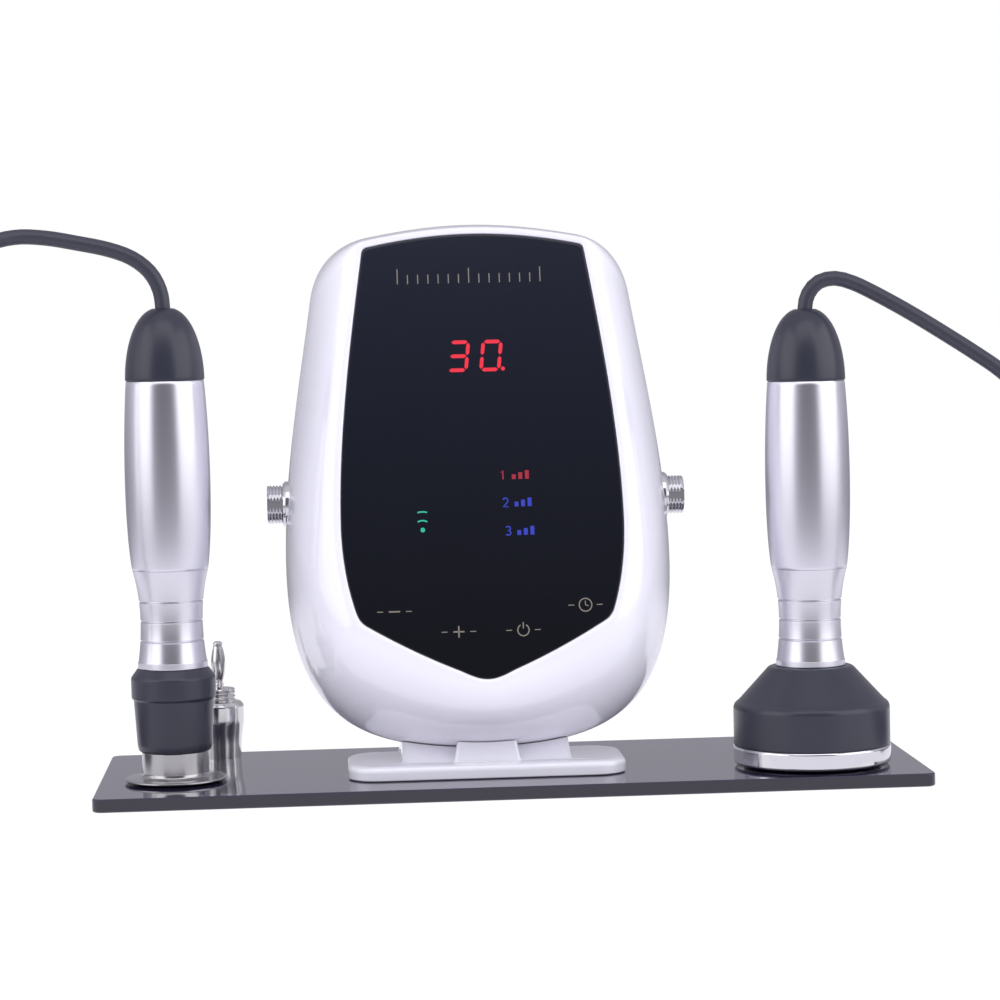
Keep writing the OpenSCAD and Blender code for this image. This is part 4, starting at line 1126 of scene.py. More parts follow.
@dataclass
class Console:
    """Front shell, rear shell and touch panel.

    The parting outline and the panel outline are chains of Bezier curves from the top centre to the
    bottom centre, x in half widths and z in heights, mirrored to the left half.
    """

    x: float = -7.5
    width: float = 120.0
    height: float = 162.4
    bottom: float = 10.5
    middle: float = 91.7
    ring_y: float = 12.0
    ring_lean: float = 10.2
    bulge: float = 20.0
    wall: float = 2.5
    seam: float = 0.2
    panel_w: float = 85.6
    panel_h: float = 133.9
    panel_bottom: float = 35.5
    panel_out: float = 24.4
    panel_lean: float = 15.0
    lip: float = 1.6
    ledge: float = 3.0
    recess: float = 2.0
    board: float = 7.0
    screw_inset: float = 5.2
    screw_steps: tuple = (9, 26, -26, -9)
    port_z: float = -46.0
    port_x: float = 14.0
    vents: int = 6
    fineness: int = 5
    ring_shape: tuple = ((0, 1), (0.2, 1), (0.37, 0.99), (0.52, 0.98), (0.69, 0.97), (0.81, 0.93),
                         (0.84, 0.86), (0.91, 0.69), (1, 0.53), (1, 0.355), (1, 0.05), (0.63, 0), (0, 0))
    ring_steps: tuple = (5, 6, 8, 14)
    panel_shape: tuple = ((0, 1), (0.26, 1), (0.51, 0.99), (0.75, 0.974), (0.785, 0.972), (0.797, 0.968),
                          (0.8, 0.959), (0.9, 0.757), (1, 0.541), (1, 0.347), (1, 0.276), (0.967, 0.209),
                          (0.909, 0.153), (0.895, 0.14), (0.88, 0.13), (0.832, 0.121), (0.607, 0.079),
                          (0.397, 0.046), (0.187, 0.019), (0.117, 0.008), (0.06, 0), (0, 0))
    panel_steps: tuple = (5, 6, 8, 5, 3, 4, 2)

    def outline(self, shape: Sequence[Sequence[float]], steps: Sequence[int]) -> Array:
        """Closed outline: each Bezier curve sampled evenly, then its mirror image on the way back.

        Args:
            shape: Control points of the right half.
            steps: Pieces in each curve, before the fineness.

        Returns:
            Points across and up, as shares.
        """
        p, runs = np.asarray(shape, float), []
        for i, count in enumerate(steps):
            t = np.linspace(0, 1, count * self.fineness, endpoint=False)
            runs.append(bezier(p[3 * i:3 * i + 4], t))
        half = np.concatenate(runs + [p[-1:]])
        return np.concatenate([half, half[-2:0:-1] * [-1, 1]])

    def ring(self, inset: float = 0.0, scale: float = 1.0) -> Array:
        """Parting outline as x and z, drawn in by an inset and scaled about the console's middle.

        Args:
            inset: Distance by which it is drawn in.
            scale: Factor about the middle.

        Returns:
            Points x and z.
        """
        p = self.outline(self.ring_shape, self.ring_steps)
        x = p[:, 0] * (self.width / 2 - inset)
        z = self.bottom + inset + p[:, 1] * (self.height - 2 * inset)
        return np.stack([x * scale, self.middle + (z - self.middle) * scale], -1)

    def panel(self, inset: float = 0.0) -> Array:
        """Panel outline as x and z, drawn in by an inset."""
        p = self.outline(self.panel_shape, self.panel_steps)
        return np.stack([p[:, 0] * (self.panel_w / 2 - inset),
                         self.panel_bottom + inset + p[:, 1] * (self.panel_h - 2 * inset)], -1)

    def ring_depth(self, z: Array) -> Array:
        """Depth y of the leaning parting plane at a height."""
        return self.ring_y + np.tan(np.radians(self.ring_lean)) * (z - self.middle)

    def on_ring(self, p: Array, back: float = 0.0) -> Array:
        """Points of an outline on the parting plane, moved back along Y."""
        return np.stack([self.x + p[:, 0], self.ring_depth(p[:, 1]) + back, p[:, 1]], -1)

    def on_panel(self, p: Array, depth: float = 0.0) -> Array:
        """Points on the leaning panel plane, moved in by a depth square to it.

        Args:
            p: Points x and z.
            depth: Distance behind the panel plane.

        Returns:
            Points x, y, z.
        """
        lean = np.radians(self.panel_lean)
        y = -self.panel_out + np.tan(lean) * (p[:, 1] - self.middle)
        return np.stack([self.x + p[:, 0], y + depth * np.cos(lean), p[:, 1] - depth * np.sin(lean)], -1)

    def blend(self, ring: Array, panel: Array, depth: float, angles: Array) -> Array:
        """Quarter rounds from the parting outline to a panel outline at a depth.

        At angle a, x and z have gone 1 - cos(a) of the way to the panel, and y has gone sin(a) of it.

        Args:
            ring: Parting outline.
            panel: Panel outline of equally many points.
            depth: Depth of the panel outline.
            angles: Angle a of each ring.

        Returns:
            One ring of points for each angle.
        """
        start, goal = self.on_ring(ring), self.on_panel(panel, depth)
        a = np.asarray(angles)[:, None]
        s = 1 - np.cos(a)
        x = start[:, 0] * (1 - s) + goal[:, 0] * s
        z = start[:, 2] * (1 - s) + goal[:, 2] * s
        y = start[:, 1] + (goal[:, 1] - start[:, 1]) * np.sin(a)
        return np.stack([x, y, z], -1)

    def bowl(self, angles: Array, inset: float) -> Array:
        """Rings of the rear shell.

        At angle a the outline is scaled by cos(a) ** 0.55 and lies (bulge - inset) * sin(a) ** 0.9 back.

        Args:
            angles: Angle a of each ring.
            inset: Distance by which the rings are drawn in.

        Returns:
            One ring of points for each angle.
        """
        rings = []
        for a in angles:
            k = max(np.cos(a), 0.0) ** 0.55
            out = (self.bulge - inset) * np.sin(a) ** 0.9
            rings.append(self.on_ring(self.ring(inset, k), self.seam + out))
        return np.array(rings)

    def tools(self, gap: float) -> list[bpy.types.Object]:
        """The console's outer form, grown by a gap, as two closed cutters.

        Args:
            gap: Distance by which the form is grown.

        Returns:
            Cutters of the front and of the rear.
        """
        angles = np.radians(np.arange(0, 91, 5))
        front = self.blend(self.ring(-gap), self.panel(-self.lip - gap), -gap, angles)
        return [Form().loft(front).build("front_tool"), self.rear_solid(gap)]

    def rear_solid(self, gap: float) -> bpy.types.Object:
        """The rear shell's outer form, grown by a gap, as a closed solid."""
        return Form().loft(self.bowl(np.radians(np.arange(84, -1, -6)), -gap)).build("rear_tool")

    def at_ring(self, points: Array) -> Array:
        """Points of the parting plane's own frame: turned back by its lean and moved to its middle.

        Args:
            points: Points in the parting plane's own frame.

        Returns:
            Points x, y, z.
        """
        lean = np.radians(self.ring_lean)
        x, y, z = points[..., 0], points[..., 1], points[..., 2]
        return np.stack([self.x + x, self.ring_y + y * np.cos(lean) + z * np.sin(lean),
                         self.middle - y * np.sin(lean) + z * np.cos(lean)], -1)

    def socket_tool(self) -> bpy.types.Object:
        """Cutter for the two socket holes with their sunk seats.

        Returns:
            The cutter.
        """
        s, form = Sockets(), Form()
        hole, seat, low, high = s.thread_r + 0.1, s.nut_r + 0.1, s.inner - 12, s.inner + 10
        ledge = s.inner - 0.1
        profile = [(0, low), (hole, low), (hole, ledge), (seat, ledge), (seat, high), (0, high)]
        for axis in ("+x", "-x"):
            form.lathe(np.array(profile), (self.x, s.y, s.z), axis, 64)
        return form.build("socket_tool")

    def front_shell(self) -> None:
        """Front shell: round outer form, soft lip, recess for the panel and the inner walls."""
        ring, lip, edge = self.ring(), self.panel(-self.lip), self.panel()
        angles = np.radians(np.concatenate([[0.6, 1.6], np.arange(4, 87, 3.2), [88, 90]]))
        rows = [self.on_ring(self.ring(0.35))[None], self.on_ring(self.ring(0.1), -0.08)[None],
                self.blend(ring, lip, 0, angles)]
        for inset, depth in ((-1.2, 0.0), (-0.5, 0.02), (-0.22, 0.12), (-0.05, 0.32), (0.0, 0.6)):
            rows.append(self.on_panel(self.panel(inset), depth)[None])
        inside = np.radians(np.arange(90, -1, -10))
        rows += [self.on_panel(edge, self.recess - 0.2)[None], self.on_panel(edge, self.recess)[None],
                 self.on_panel(self.panel(self.ledge), self.recess)[None],
                 self.on_panel(self.panel(self.ledge), self.board)[None],
                 self.blend(self.ring(self.wall), self.panel(-1), self.board, inside)]
        skin = Form().sheet(np.concatenate(rows), wrap_rows=True, wrap_columns=True)
        shell = skin.build("front_housing", 50)
        carve(shell, self.socket_tool())
        shell.data.set_sharp_from_angle(angle=np.radians(40))
        dress(shell, "white_shell", "root", ("front_shell",))

    def rear_shell(self) -> None:
        """Rear shell with the port pocket, vents and sunk screws."""
        angles = np.radians(np.concatenate([[90], np.arange(88, 3, -3.0), [2.0, 0.8]]))
        inner = np.radians(np.concatenate([np.arange(0, 90, 10), [90]]))
        rim = [self.on_ring(self.ring(0.1), self.seam + 0.08)[None],
               self.on_ring(self.ring(0.35), self.seam)[None]]
        rows = np.concatenate([self.bowl(angles, 0)] + rim + [self.bowl(inner, self.wall)])
        shell = Form().sheet(rows, wrap_columns=True).build("rear_housing", 50)
        pocket = self.pocket_walls()
        carve(pocket, self.rear_solid(-0.3), Solid.KEEP)
        carve(shell, pocket, Solid.JOIN)
        for tool in self.rear_tools():
            carve(shell, tool)
        carve(shell, self.socket_tool())
        shell.data.set_sharp_from_angle(angle=np.radians(35))
        dress(shell, "white_shell", "root", ("rear_shell",))

    def box(self, middle: Sequence[float], size: Sequence[float], radius: float) -> Form:
        """Block with rounded upright edges in the parting plane's frame, its height along y there.

        Args:
            middle: Its middle.
            size: Its width, depth and height.
            radius: Radius of the upright edges.

        Returns:
            The block as a form.
        """
        flat = round_slab((0, 0), (size[0], size[2]), radius, [(0, -size[1] / 2), (0, size[1] / 2)], 8)
        x, z, y = flat.points[:, 0], flat.points[:, 1], flat.points[:, 2]
        flat.points = self.at_ring(np.stack([x, y, z], -1) + np.asarray(middle, float))
        return flat

    def rod(self, at: Sequence[float], low: float, high: float, radius: float) -> Form:
        """Round bar along y in the parting plane's frame.

        Args:
            at: Place of its axis.
            low: Start along y.
            high: End along y.
            radius: Its radius.

        Returns:
            The bar as a form.
        """
        profile = np.array([(0, low), (radius, low), (radius, high), (0, high)])
        bar = Form().lathe(profile, (0, 0, 0), "+y", 48)
        bar.points = self.at_ring(bar.points + [at[0], 0, at[1]])
        return bar

    def screw_places(self) -> Array:
        """Places of the four case screws in the parting plane's frame.

        Returns:
            Points across and up.
        """
        line = self.ring(self.screw_inset)
        x, z = line[[k * self.fineness % len(line) for k in self.screw_steps]].T
        return np.stack([x, (z - self.middle) / np.cos(np.radians(self.ring_lean))], -1)

    def pocket_walls(self) -> bpy.types.Object:
        """Floor and walls of the port pocket and the screw wells, before they are hollowed.

        Returns:
            The solid that is joined to the shell.
        """
        form = self.box((0, 13.4, self.port_z), (60, 5.6, 26), 3.0)
        for place in self.screw_places():
            form.merged(self.rod(place, 3.4, 10.2, 4.2))
        return form.build("pocket_tool")

    def rear_tools(self) -> list[bpy.types.Object]:
        """Cutters of the rear shell: pocket, switch and inlet openings, vents, screw wells.

        Returns:
            The cutters, in the order in which they cut.
        """
        tools = [self.box((0, 21.3, self.port_z), (56, 10, 22), 2.0),
                 self.box((self.port_x, 12, self.port_z), (12.2, 12, 18.2), 0.4),
                 self.rod((-self.port_x, self.port_z), 2, 20, 5.1)]
        tools += [self.box((0, 20, 22 + 6 * i), (30 - 2 * i, 14, 2.4), 1.1) for i in range(self.vents)]
        tools += [self.rod(place, 5, 24, 2.95) for place in self.screw_places()]
        tools += [self.rod(place, 1, 8, 1.6) for place in self.screw_places()]
        return [tool.build("rear_cut") for tool in tools]

    def touch_panel(self) -> None:
        """Smoked sheet with a fine polished edge, level with the lip."""
        edge = ((0.12, 1.5), (0.1, 1.4), (0.1, 0.4), (0.15, 0.18), (0.28, 0.05), (0.5, 0.0), (0.9, 0.0))
        rows = np.array([self.on_panel(self.panel(inset), depth) for inset, depth in edge])
        sheet = Form().loft(rows[::-1]).build("smoked_sheet", 30)
        dress(sheet, "smoked_panel", "root", ("touch_panel",))


# ------------------------------------------------------------------------------------------ sockets


@dataclass
class Sockets:
    """Threaded sockets with their nuts, one on each side of the console."""

    x: float = -7.5
    y: float = 11.064
    z: float = 86.5
    inner: float = 58.092
    nut_r: float = 7.2
    nut_t: float = 2.4
    thread_r: float = 6.0
    thread_out: float = 4.9
    pitch: float = 1.0
    groove: float = 0.42
    flat_depth: float = 0.5

    def build(self) -> None:
        """Makes shells, nuts and inserts of both sockets."""
        start, end = self.inner + self.nut_t, self.inner + self.nut_t + self.thread_out
        bore = self.thread_r + 0.05
        shells, nuts, inserts, pins = Form(), Form(), Form(), Form()
        run = np.linspace(start - 2.0, end - 0.5, 90)
        r, low = self.thread_r, self.inner - 10
        outer = joined([(4.8, low), (r, low), (r, start - 2.2)], np.stack([np.full(90, r), run], 1),
                       rounded([(r - 0.1, end - 0.45, 0), (r - 0.25, end, 0.15), (4.8, end, 0.25),
                                (4.8, low, 0)]))

        def thread(v: Array, h: Array) -> Array:
            """Depth of a helical groove: it moves up by one pitch in a turn and fades in at the end."""
            phase = h / self.pitch - v / TURN
            wave = 0.5 - 0.5 * np.cos(TURN * phase)
            fade = np.clip((h - start + 2.0) / 0.4, 0, 1) * np.clip((end - 0.5 - h) / 0.4, 0, 1)
            return self.groove * fade * wave**1.5

        for axis in ("+x", "-x"):
            at = (self.x, self.y, self.z)
            body = Form().lathe(outer, at, axis, 120, relief=thread)
            limit = self.y - self.thread_r + self.flat_depth
            beyond = np.abs(body.points[:, 0] - self.x) > start
            body.points[beyond, 1] = np.maximum(body.points[beyond, 1], limit)
            shells.merged(body)
            nuts.lathe(rounded([(bore, self.inner, 0), (self.nut_r, self.inner, 0.1),
                                (self.nut_r, self.inner + 1.55, 0.3), (self.nut_r - 0.75, start, 0.2),
                                (bore, start, 0.1), (bore, self.inner, 0)]), at, axis, 96)
            inserts.lathe(rounded([(0, self.inner - 9.5, 0), (4.72, self.inner - 9.5, 0.2),
                                   (4.72, self.inner, 0.3), (0, self.inner, 0)]), at, axis, 48)
            for angle in CONTACT_ANGLES:
                spot = np.add(at, [0, CONTACT_CIRCLE * np.cos(angle), CONTACT_CIRCLE * np.sin(angle)])
                pins.lathe(rounded([(0, self.inner - 0.5, 0), (0.5, self.inner - 0.5, 0),
                                    (0.5, self.inner + 5.8, 0.35), (0, self.inner + 5.8, 0)]), spot, axis, 20)
        dress(shells.build("threaded_sockets", 35), "chrome_trim", "root", ("socket_shells",))
        dress(nuts.build("socket_rings", 35), "chrome_trim", "root", ("socket_nuts",))
        dress(inserts.build("socket_cores", 35), "insulator", "root", ("socket_inserts",))
        dress(pins.build("socket_pins", 35), "contact_gold", "root")


# --------------------------------------------------------------------------------------- handpieces


@dataclass
class Handpiece:
    """Cap, barrel and grooved waist that stand on a head."""

    side: str
    at: tuple[float, float]
    base: float
    length: float = 87.5
    waist_len: float = 30.0
    band_r: float = 10.6
    waist_r: float = 9.45
    split_r: float = 11.5
    belly_r: float = 12.9
    top_r: float = 11.8
    cap_len: float = 21.8
    bore_r: float = 9.1
    groove: float = 0.42
    groove_half: float = 0.36
    groove_shares: tuple[float, ...] = (0.28, 0.48, 0.68)

    def piece(self, profile: Array, height: float, name: str, slot: str, node: str, sharp: float = 50,
              relief: Callable[[Array, Array], Array] | None = None) -> None:
        """Makes one turned piece on the handpiece's axis, which rides with the handpiece."""
        form = Form().lathe(profile, (*self.at, height), relief=relief)
        dress(form.build(f"{self.side}_{name}", sharp), slot, f"{self.side}_handpiece",
              (f"{self.side}_{node}",))

    def waist(self) -> None:
        """Waist: a band, then a hollow curve with three fine grooves, up to the barrel."""
        start = self.band_r - 0.2
        pull = (8 * self.waist_r - start - self.split_r) / 6
        control = [(start, 1.95), (pull + 0.25, 10.0), (pull - 0.25, 20.0), (self.split_r, self.waist_len)]
        curve = bezier(control, np.linspace(0, 1, 420))
        low = rounded([(0, 4.3, 0), (5.35, 4.3, 0), (5.35, 0, 0.2), (self.band_r, 0, 0.3),
                       (self.band_r, 1.9, 0.15), (start, 1.95, 0)], 4)
        profile = joined(low, curve[1:-1], [(self.split_r - 0.01, self.waist_len - 0.03),
                                            (self.split_r - 0.05, self.waist_len), (0, self.waist_len)])

        def grooves(v: Array, h: Array) -> Array:
            """Depth of three V grooves at shares of the waist's length."""
            depth = [np.clip(1 - np.abs(h - share * self.waist_len) / self.groove_half, 0, 1)
                     for share in self.groove_shares]
            return self.groove * sum(depth) + 0 * v

        self.piece(profile, self.base, "grooved_waist", "waist_metal", "waist", 60, grooves)

    def barrel(self) -> None:
        """Barrel: a tube whose outer curve swells a little in the middle."""
        run = self.length - self.waist_len
        pull = (8 * self.belly_r - self.split_r - self.top_r) / 6
        control = [(self.split_r, self.waist_len), (pull + 0.1, self.waist_len + run * 0.21),
                   (pull, self.length - run * 0.31), (self.top_r, self.length)]
        curve = bezier(control, np.linspace(0, 1, 80))[2:-2]
        low, high = self.waist_len + 0.04, self.length - 0.04
        foot = [(self.bore_r, low), (self.split_r - 0.06, low), (self.split_r - 0.01, low + 0.05)]
        profile = joined(foot, curve, [(self.top_r, high - 0.16), (self.top_r - 0.18, high),
                                       (self.bore_r, high), (self.bore_r, low)])
        self.piece(profile, self.base, "silver_barrel", "barrel_silver", "barrel")

    def cap(self) -> None:
        """Cap: an ogive that closes round the lead."""
        c, wide = self.cap_len, self.top_r + 0.2
        control = [(wide, 0.0), (wide + 0.1, c * 0.37), (wide * 0.8, c * 0.9), (3.3, c)]
        curve = bezier(control, np.linspace(0, 1, 60))[1:]
        profile = joined([(7.4, -3.9), (8.7, -3.9), (8.95, -3.6), (8.95, 0.04), (wide - 0.25, 0.04),
                          (wide - 0.03, 0.26)], curve, [(2.9, c + 0.05), (2.6, c - 0.1), (2.42, c - 0.5)],
                         [(2.42, c - 4), (7.4, 2), (7.4, -3.9)])
        self.piece(profile, self.base + self.length, "slate_cap", "dark_plastic", "cap")

    def build(self) -> None:
        """Makes the three visible pieces."""
        self.waist()
        self.barrel()
        self.cap()


def threaded(h0: float, pitch: float, turns: float, depth: float) -> Callable[[Array, Array], Array]:
    """Relief of a screw thread.

    Args:
        h0: Height at which the thread starts.
        pitch: Rise in one turn.
        turns: Number of turns.
        depth: Depth of the groove.

    Returns:
        Function of the angle and the height: a rounded groove that rises by one pitch in a turn.
    """

    def relief(v: Array, h: Array) -> Array:
        """Depth of the groove at an angle and a height."""
        fade = np.clip((h - h0) / 0.3, 0, 1) * np.clip((h0 + pitch * turns - h) / 0.3, 0, 1)
        return depth * fade * (0.5 - 0.5 * np.cos(TURN * ((h - h0) / pitch - v / TURN))) ** 1.3

    return relief


@dataclass
class Heads:
    """Small head, large head and spare probe, each with its contact pin."""

    small_at: tuple[float, float] = (-102.5, -14.0)
    large_at: tuple[float, float] = (93.0, -18.5)
    spare_at: tuple[float, float] = (-90.5, 36.5)
    floor: float = 4.0
    spigot_r: float = 5.25
    spigot_len: float = 4.2
    pin_r: float = 1.95
    pin_len: float = 15.2
    small_h: float = 35.0
    disc_r: float = 15.6
    large_h: float = 30.5
    bell_r: float = 24.0
    probe_h: float = 18.1
    probe_r: float = 7.86
    head_thread: tuple[float, float, float] = (1.1, 3, 0.4)
    probe_thread: tuple[float, float, float] = (1.25, 2.7, 0.45)
    probe_swell: float = 0.35
    rod_r: float = 1.42
    crown: float = 0.6
    sunk: float = 0.03

    def piece(self, profile: Array, at: Sequence[float], name: str, slot: str, body: str, node: str,
              around: int = 96, relief: Callable[[Array, Array], Array] | None = None,
              sharp: float = 35) -> None:
        """Makes one turned piece that stands on the plate and rides on a body."""
        form = Form().lathe(profile, (*at, self.floor), around=around, relief=relief)
        dress(form.build(name, sharp), slot, body, (node,))

    def spigot(self, h: float) -> Array:
        """Profile of a threaded spigot on top of a head of height h."""
        run = np.linspace(h + 0.1, h + self.spigot_len - 0.5, 60)
        return joined([(self.spigot_r, h + 0.02)], np.stack([np.full(60, self.spigot_r), run], 1),
                      [(self.spigot_r - 0.1, h + self.spigot_len - 0.2),
                       (self.spigot_r - 0.35, h + self.spigot_len), (0, h + self.spigot_len)])

    def pin(self, name: str, at: Sequence[float], h: float, bulge: float, body: str, node: str) -> None:
        """Lantern pin: a rod whose middle swells and is slit into springs all round.

        Args:
            name: The piece's name.
            at: Place of its axis.
            h: Height of the spigot's top.
            bulge: Radius of the swelling.
            body: The body that it rides on.
            node: The construction node that it stands for.
        """
        rod, top, t = self.rod_r, h + self.pin_len, np.linspace(0, 1, 70)
        swell = rod + (bulge - rod) * np.sin(np.pi * np.clip((t - 0.06) / 0.9, 0, 1)) ** 0.8
        profile = joined([(0, h - 8), (0.8, h - 8), (0.8, h - 0.3)],
                         rounded([(0.8, h - 0.3, 0), (1.62, h - 0.3, 0.1), (1.62, h + 1.4, 0.2),
                                  (rod, h + 1.6, 0)], 3),
                         np.stack([swell, h + 1.7 + t * (self.pin_len - 3.0)], 1),
                         rounded([(rod, top - 1.2, 0), (1.5, top - 1.1, 0.1), (1.5, top - 0.6, 0.3),
                                  (0.9, top, 0.3), (0, top, 0)], 4))

        def slits(v: Array, z: Array) -> Array:
            """Depth of eight slits along the swelling, sloped at their ends."""
            fade = np.clip((z - h - 2.6) / 0.5, 0, 1) * np.clip((top - 2.4 - z) / 0.5, 0, 1)
            return 0.5 * fade * np.clip(1 - np.abs(np.sin(4 * v)) / 0.3, 0, 1) ** 0.5

        self.piece(profile, at, name, "nickel", body, node, relief=slits, sharp=50)

    def small(self) -> None:
        """Slate grip over a stepped steel neck and a thin disc with a crowned underside."""
        h, r, at = self.small_h, self.disc_r, self.small_at
        top, t = h - self.sunk, np.linspace(0, 1, 16)
        grip = joined(rounded([(0, 9.6, 0), (10.6, 9.6, 0.2), (11.1, 10.1, 0.25), (11.4, 11.6, 0.4),
                               (12.2, h - 9.6, 0.4), (12.85, h - 9.0, 0.4), (12.85, h - 2.9, 0.5),
                               (12.5, h - 2.3, 0.5), (10.8, top, 0.4), (5.4, top, 0)], 5), self.spigot(h))
        self.piece(grip, at, "small_head_grip", "dark_plastic", "small_head", "small_grip",
                   relief=threaded(h + 0.5, *self.head_thread))
        under = np.stack([3 + (r - 3.4) * t, self.crown * t**2], 1)
        disc = joined([(0, 0)], under, rounded([
            (r - 0.3, 0.62, 0), (r, 0.85, 0.12), (r, 1.2, 0.12), (r - 0.4, 1.5, 0.2), (11.2, 1.7, 0.3),
            (10.4, 2.1, 0.3), (10.2, 2.9, 0.2), (10.2, 9.45, 0.1), (6, 9.5, 0), (6, 19, 0), (0, 19, 0)], 4))
        self.piece(disc, at, "small_head_disc", "steel", "small_head", "small_electrode", 128)
        self.pin("small_head_pin", at, h + self.spigot_len, self.pin_r, "small_head", "small_pin")

    def large(self) -> None:
        """Slate bell over a chrome rim and a crowned steel face."""
        h, r, at = self.large_h, self.bell_r, self.large_at
        top, t = h - self.sunk, np.linspace(0, 1, 20)
        bell = joined(rounded([(0, 6.35, 0), (r - 0.2, 6.35, 0.1), (r, 6.6, 0.2), (r, h - 12.5, 0.8),
                               (r - 0.5, h - 11.4, 0.7), (r - 1.6, h - 10.6, 0.8), (14.2, h - 1.6, 1.4),
                               (13.1, h - 0.4, 0.5), (12.3, top, 0.4), (5.4, top, 0)], 7), self.spigot(h))
        self.piece(bell, at, "large_head_bell", "dark_plastic", "large_head", "large_bell", 144,
                   threaded(h + 0.5, *self.head_thread))
        rim = rounded([(r - 3, 1.2, 0), (r - 0.6, 0.6, 0.4), (r + 0.2, 1.2, 0.5), (r + 0.2, 5.8, 0.3),
                       (r - 0.1, 6.28, 0.2), (r - 3, 6.28, 0), (r - 3, 1.2, 0)], 8)
        self.piece(rim, at, "large_head_rim", "chrome_trim", "large_head", "large_rim", 160)
        face = joined([(0, 0)], np.stack([3 + (r - 6.2) * t, self.crown * t**2], 1),
                      [(r - 3.1, 0.7), (r - 3.1, 6.3), (r - 2.1, 6.31), (r - 2.1, 8), (0, 8)])
        self.piece(face, at, "large_head_face", "steel", "large_head", "large_face", 128)
        self.pin("large_head_pin", at, h + self.spigot_len, self.pin_r, "large_head", "large_pin")

    def spare(self) -> None:
        """Spare probe: polished tapered body with a collar, a threaded spigot and its pin."""
        h, r = self.probe_h, self.probe_r
        body = joined(rounded([(0, 0, 0), (r - 1.18, 0, 0), (r - 0.85, h - 11.7, 2.0), (r - 0.25, h - 8, 1.2),
                               (r, h - 6.5, 0.8), (r, h - 1.2, 0.5), (r - 1.0, h, 0.4), (5.4, h, 0)], 7),
                      self.spigot(h))
        self.piece(body, self.spare_at, "spare_probe_body", "nickel", "spare_probe", "probe_body",
                   relief=threaded(h + 0.4, *self.probe_thread))
        self.pin("spare_probe_pin", self.spare_at, h + self.spigot_len, self.pin_r + self.probe_swell,
                 "spare_probe", "probe_pin")

    def build(self) -> None:
        """Makes both heads and the spare probe."""
        self.small()
        self.large()
        self.spare()


# ------------------------------------------------------------------------------- marks on the panel


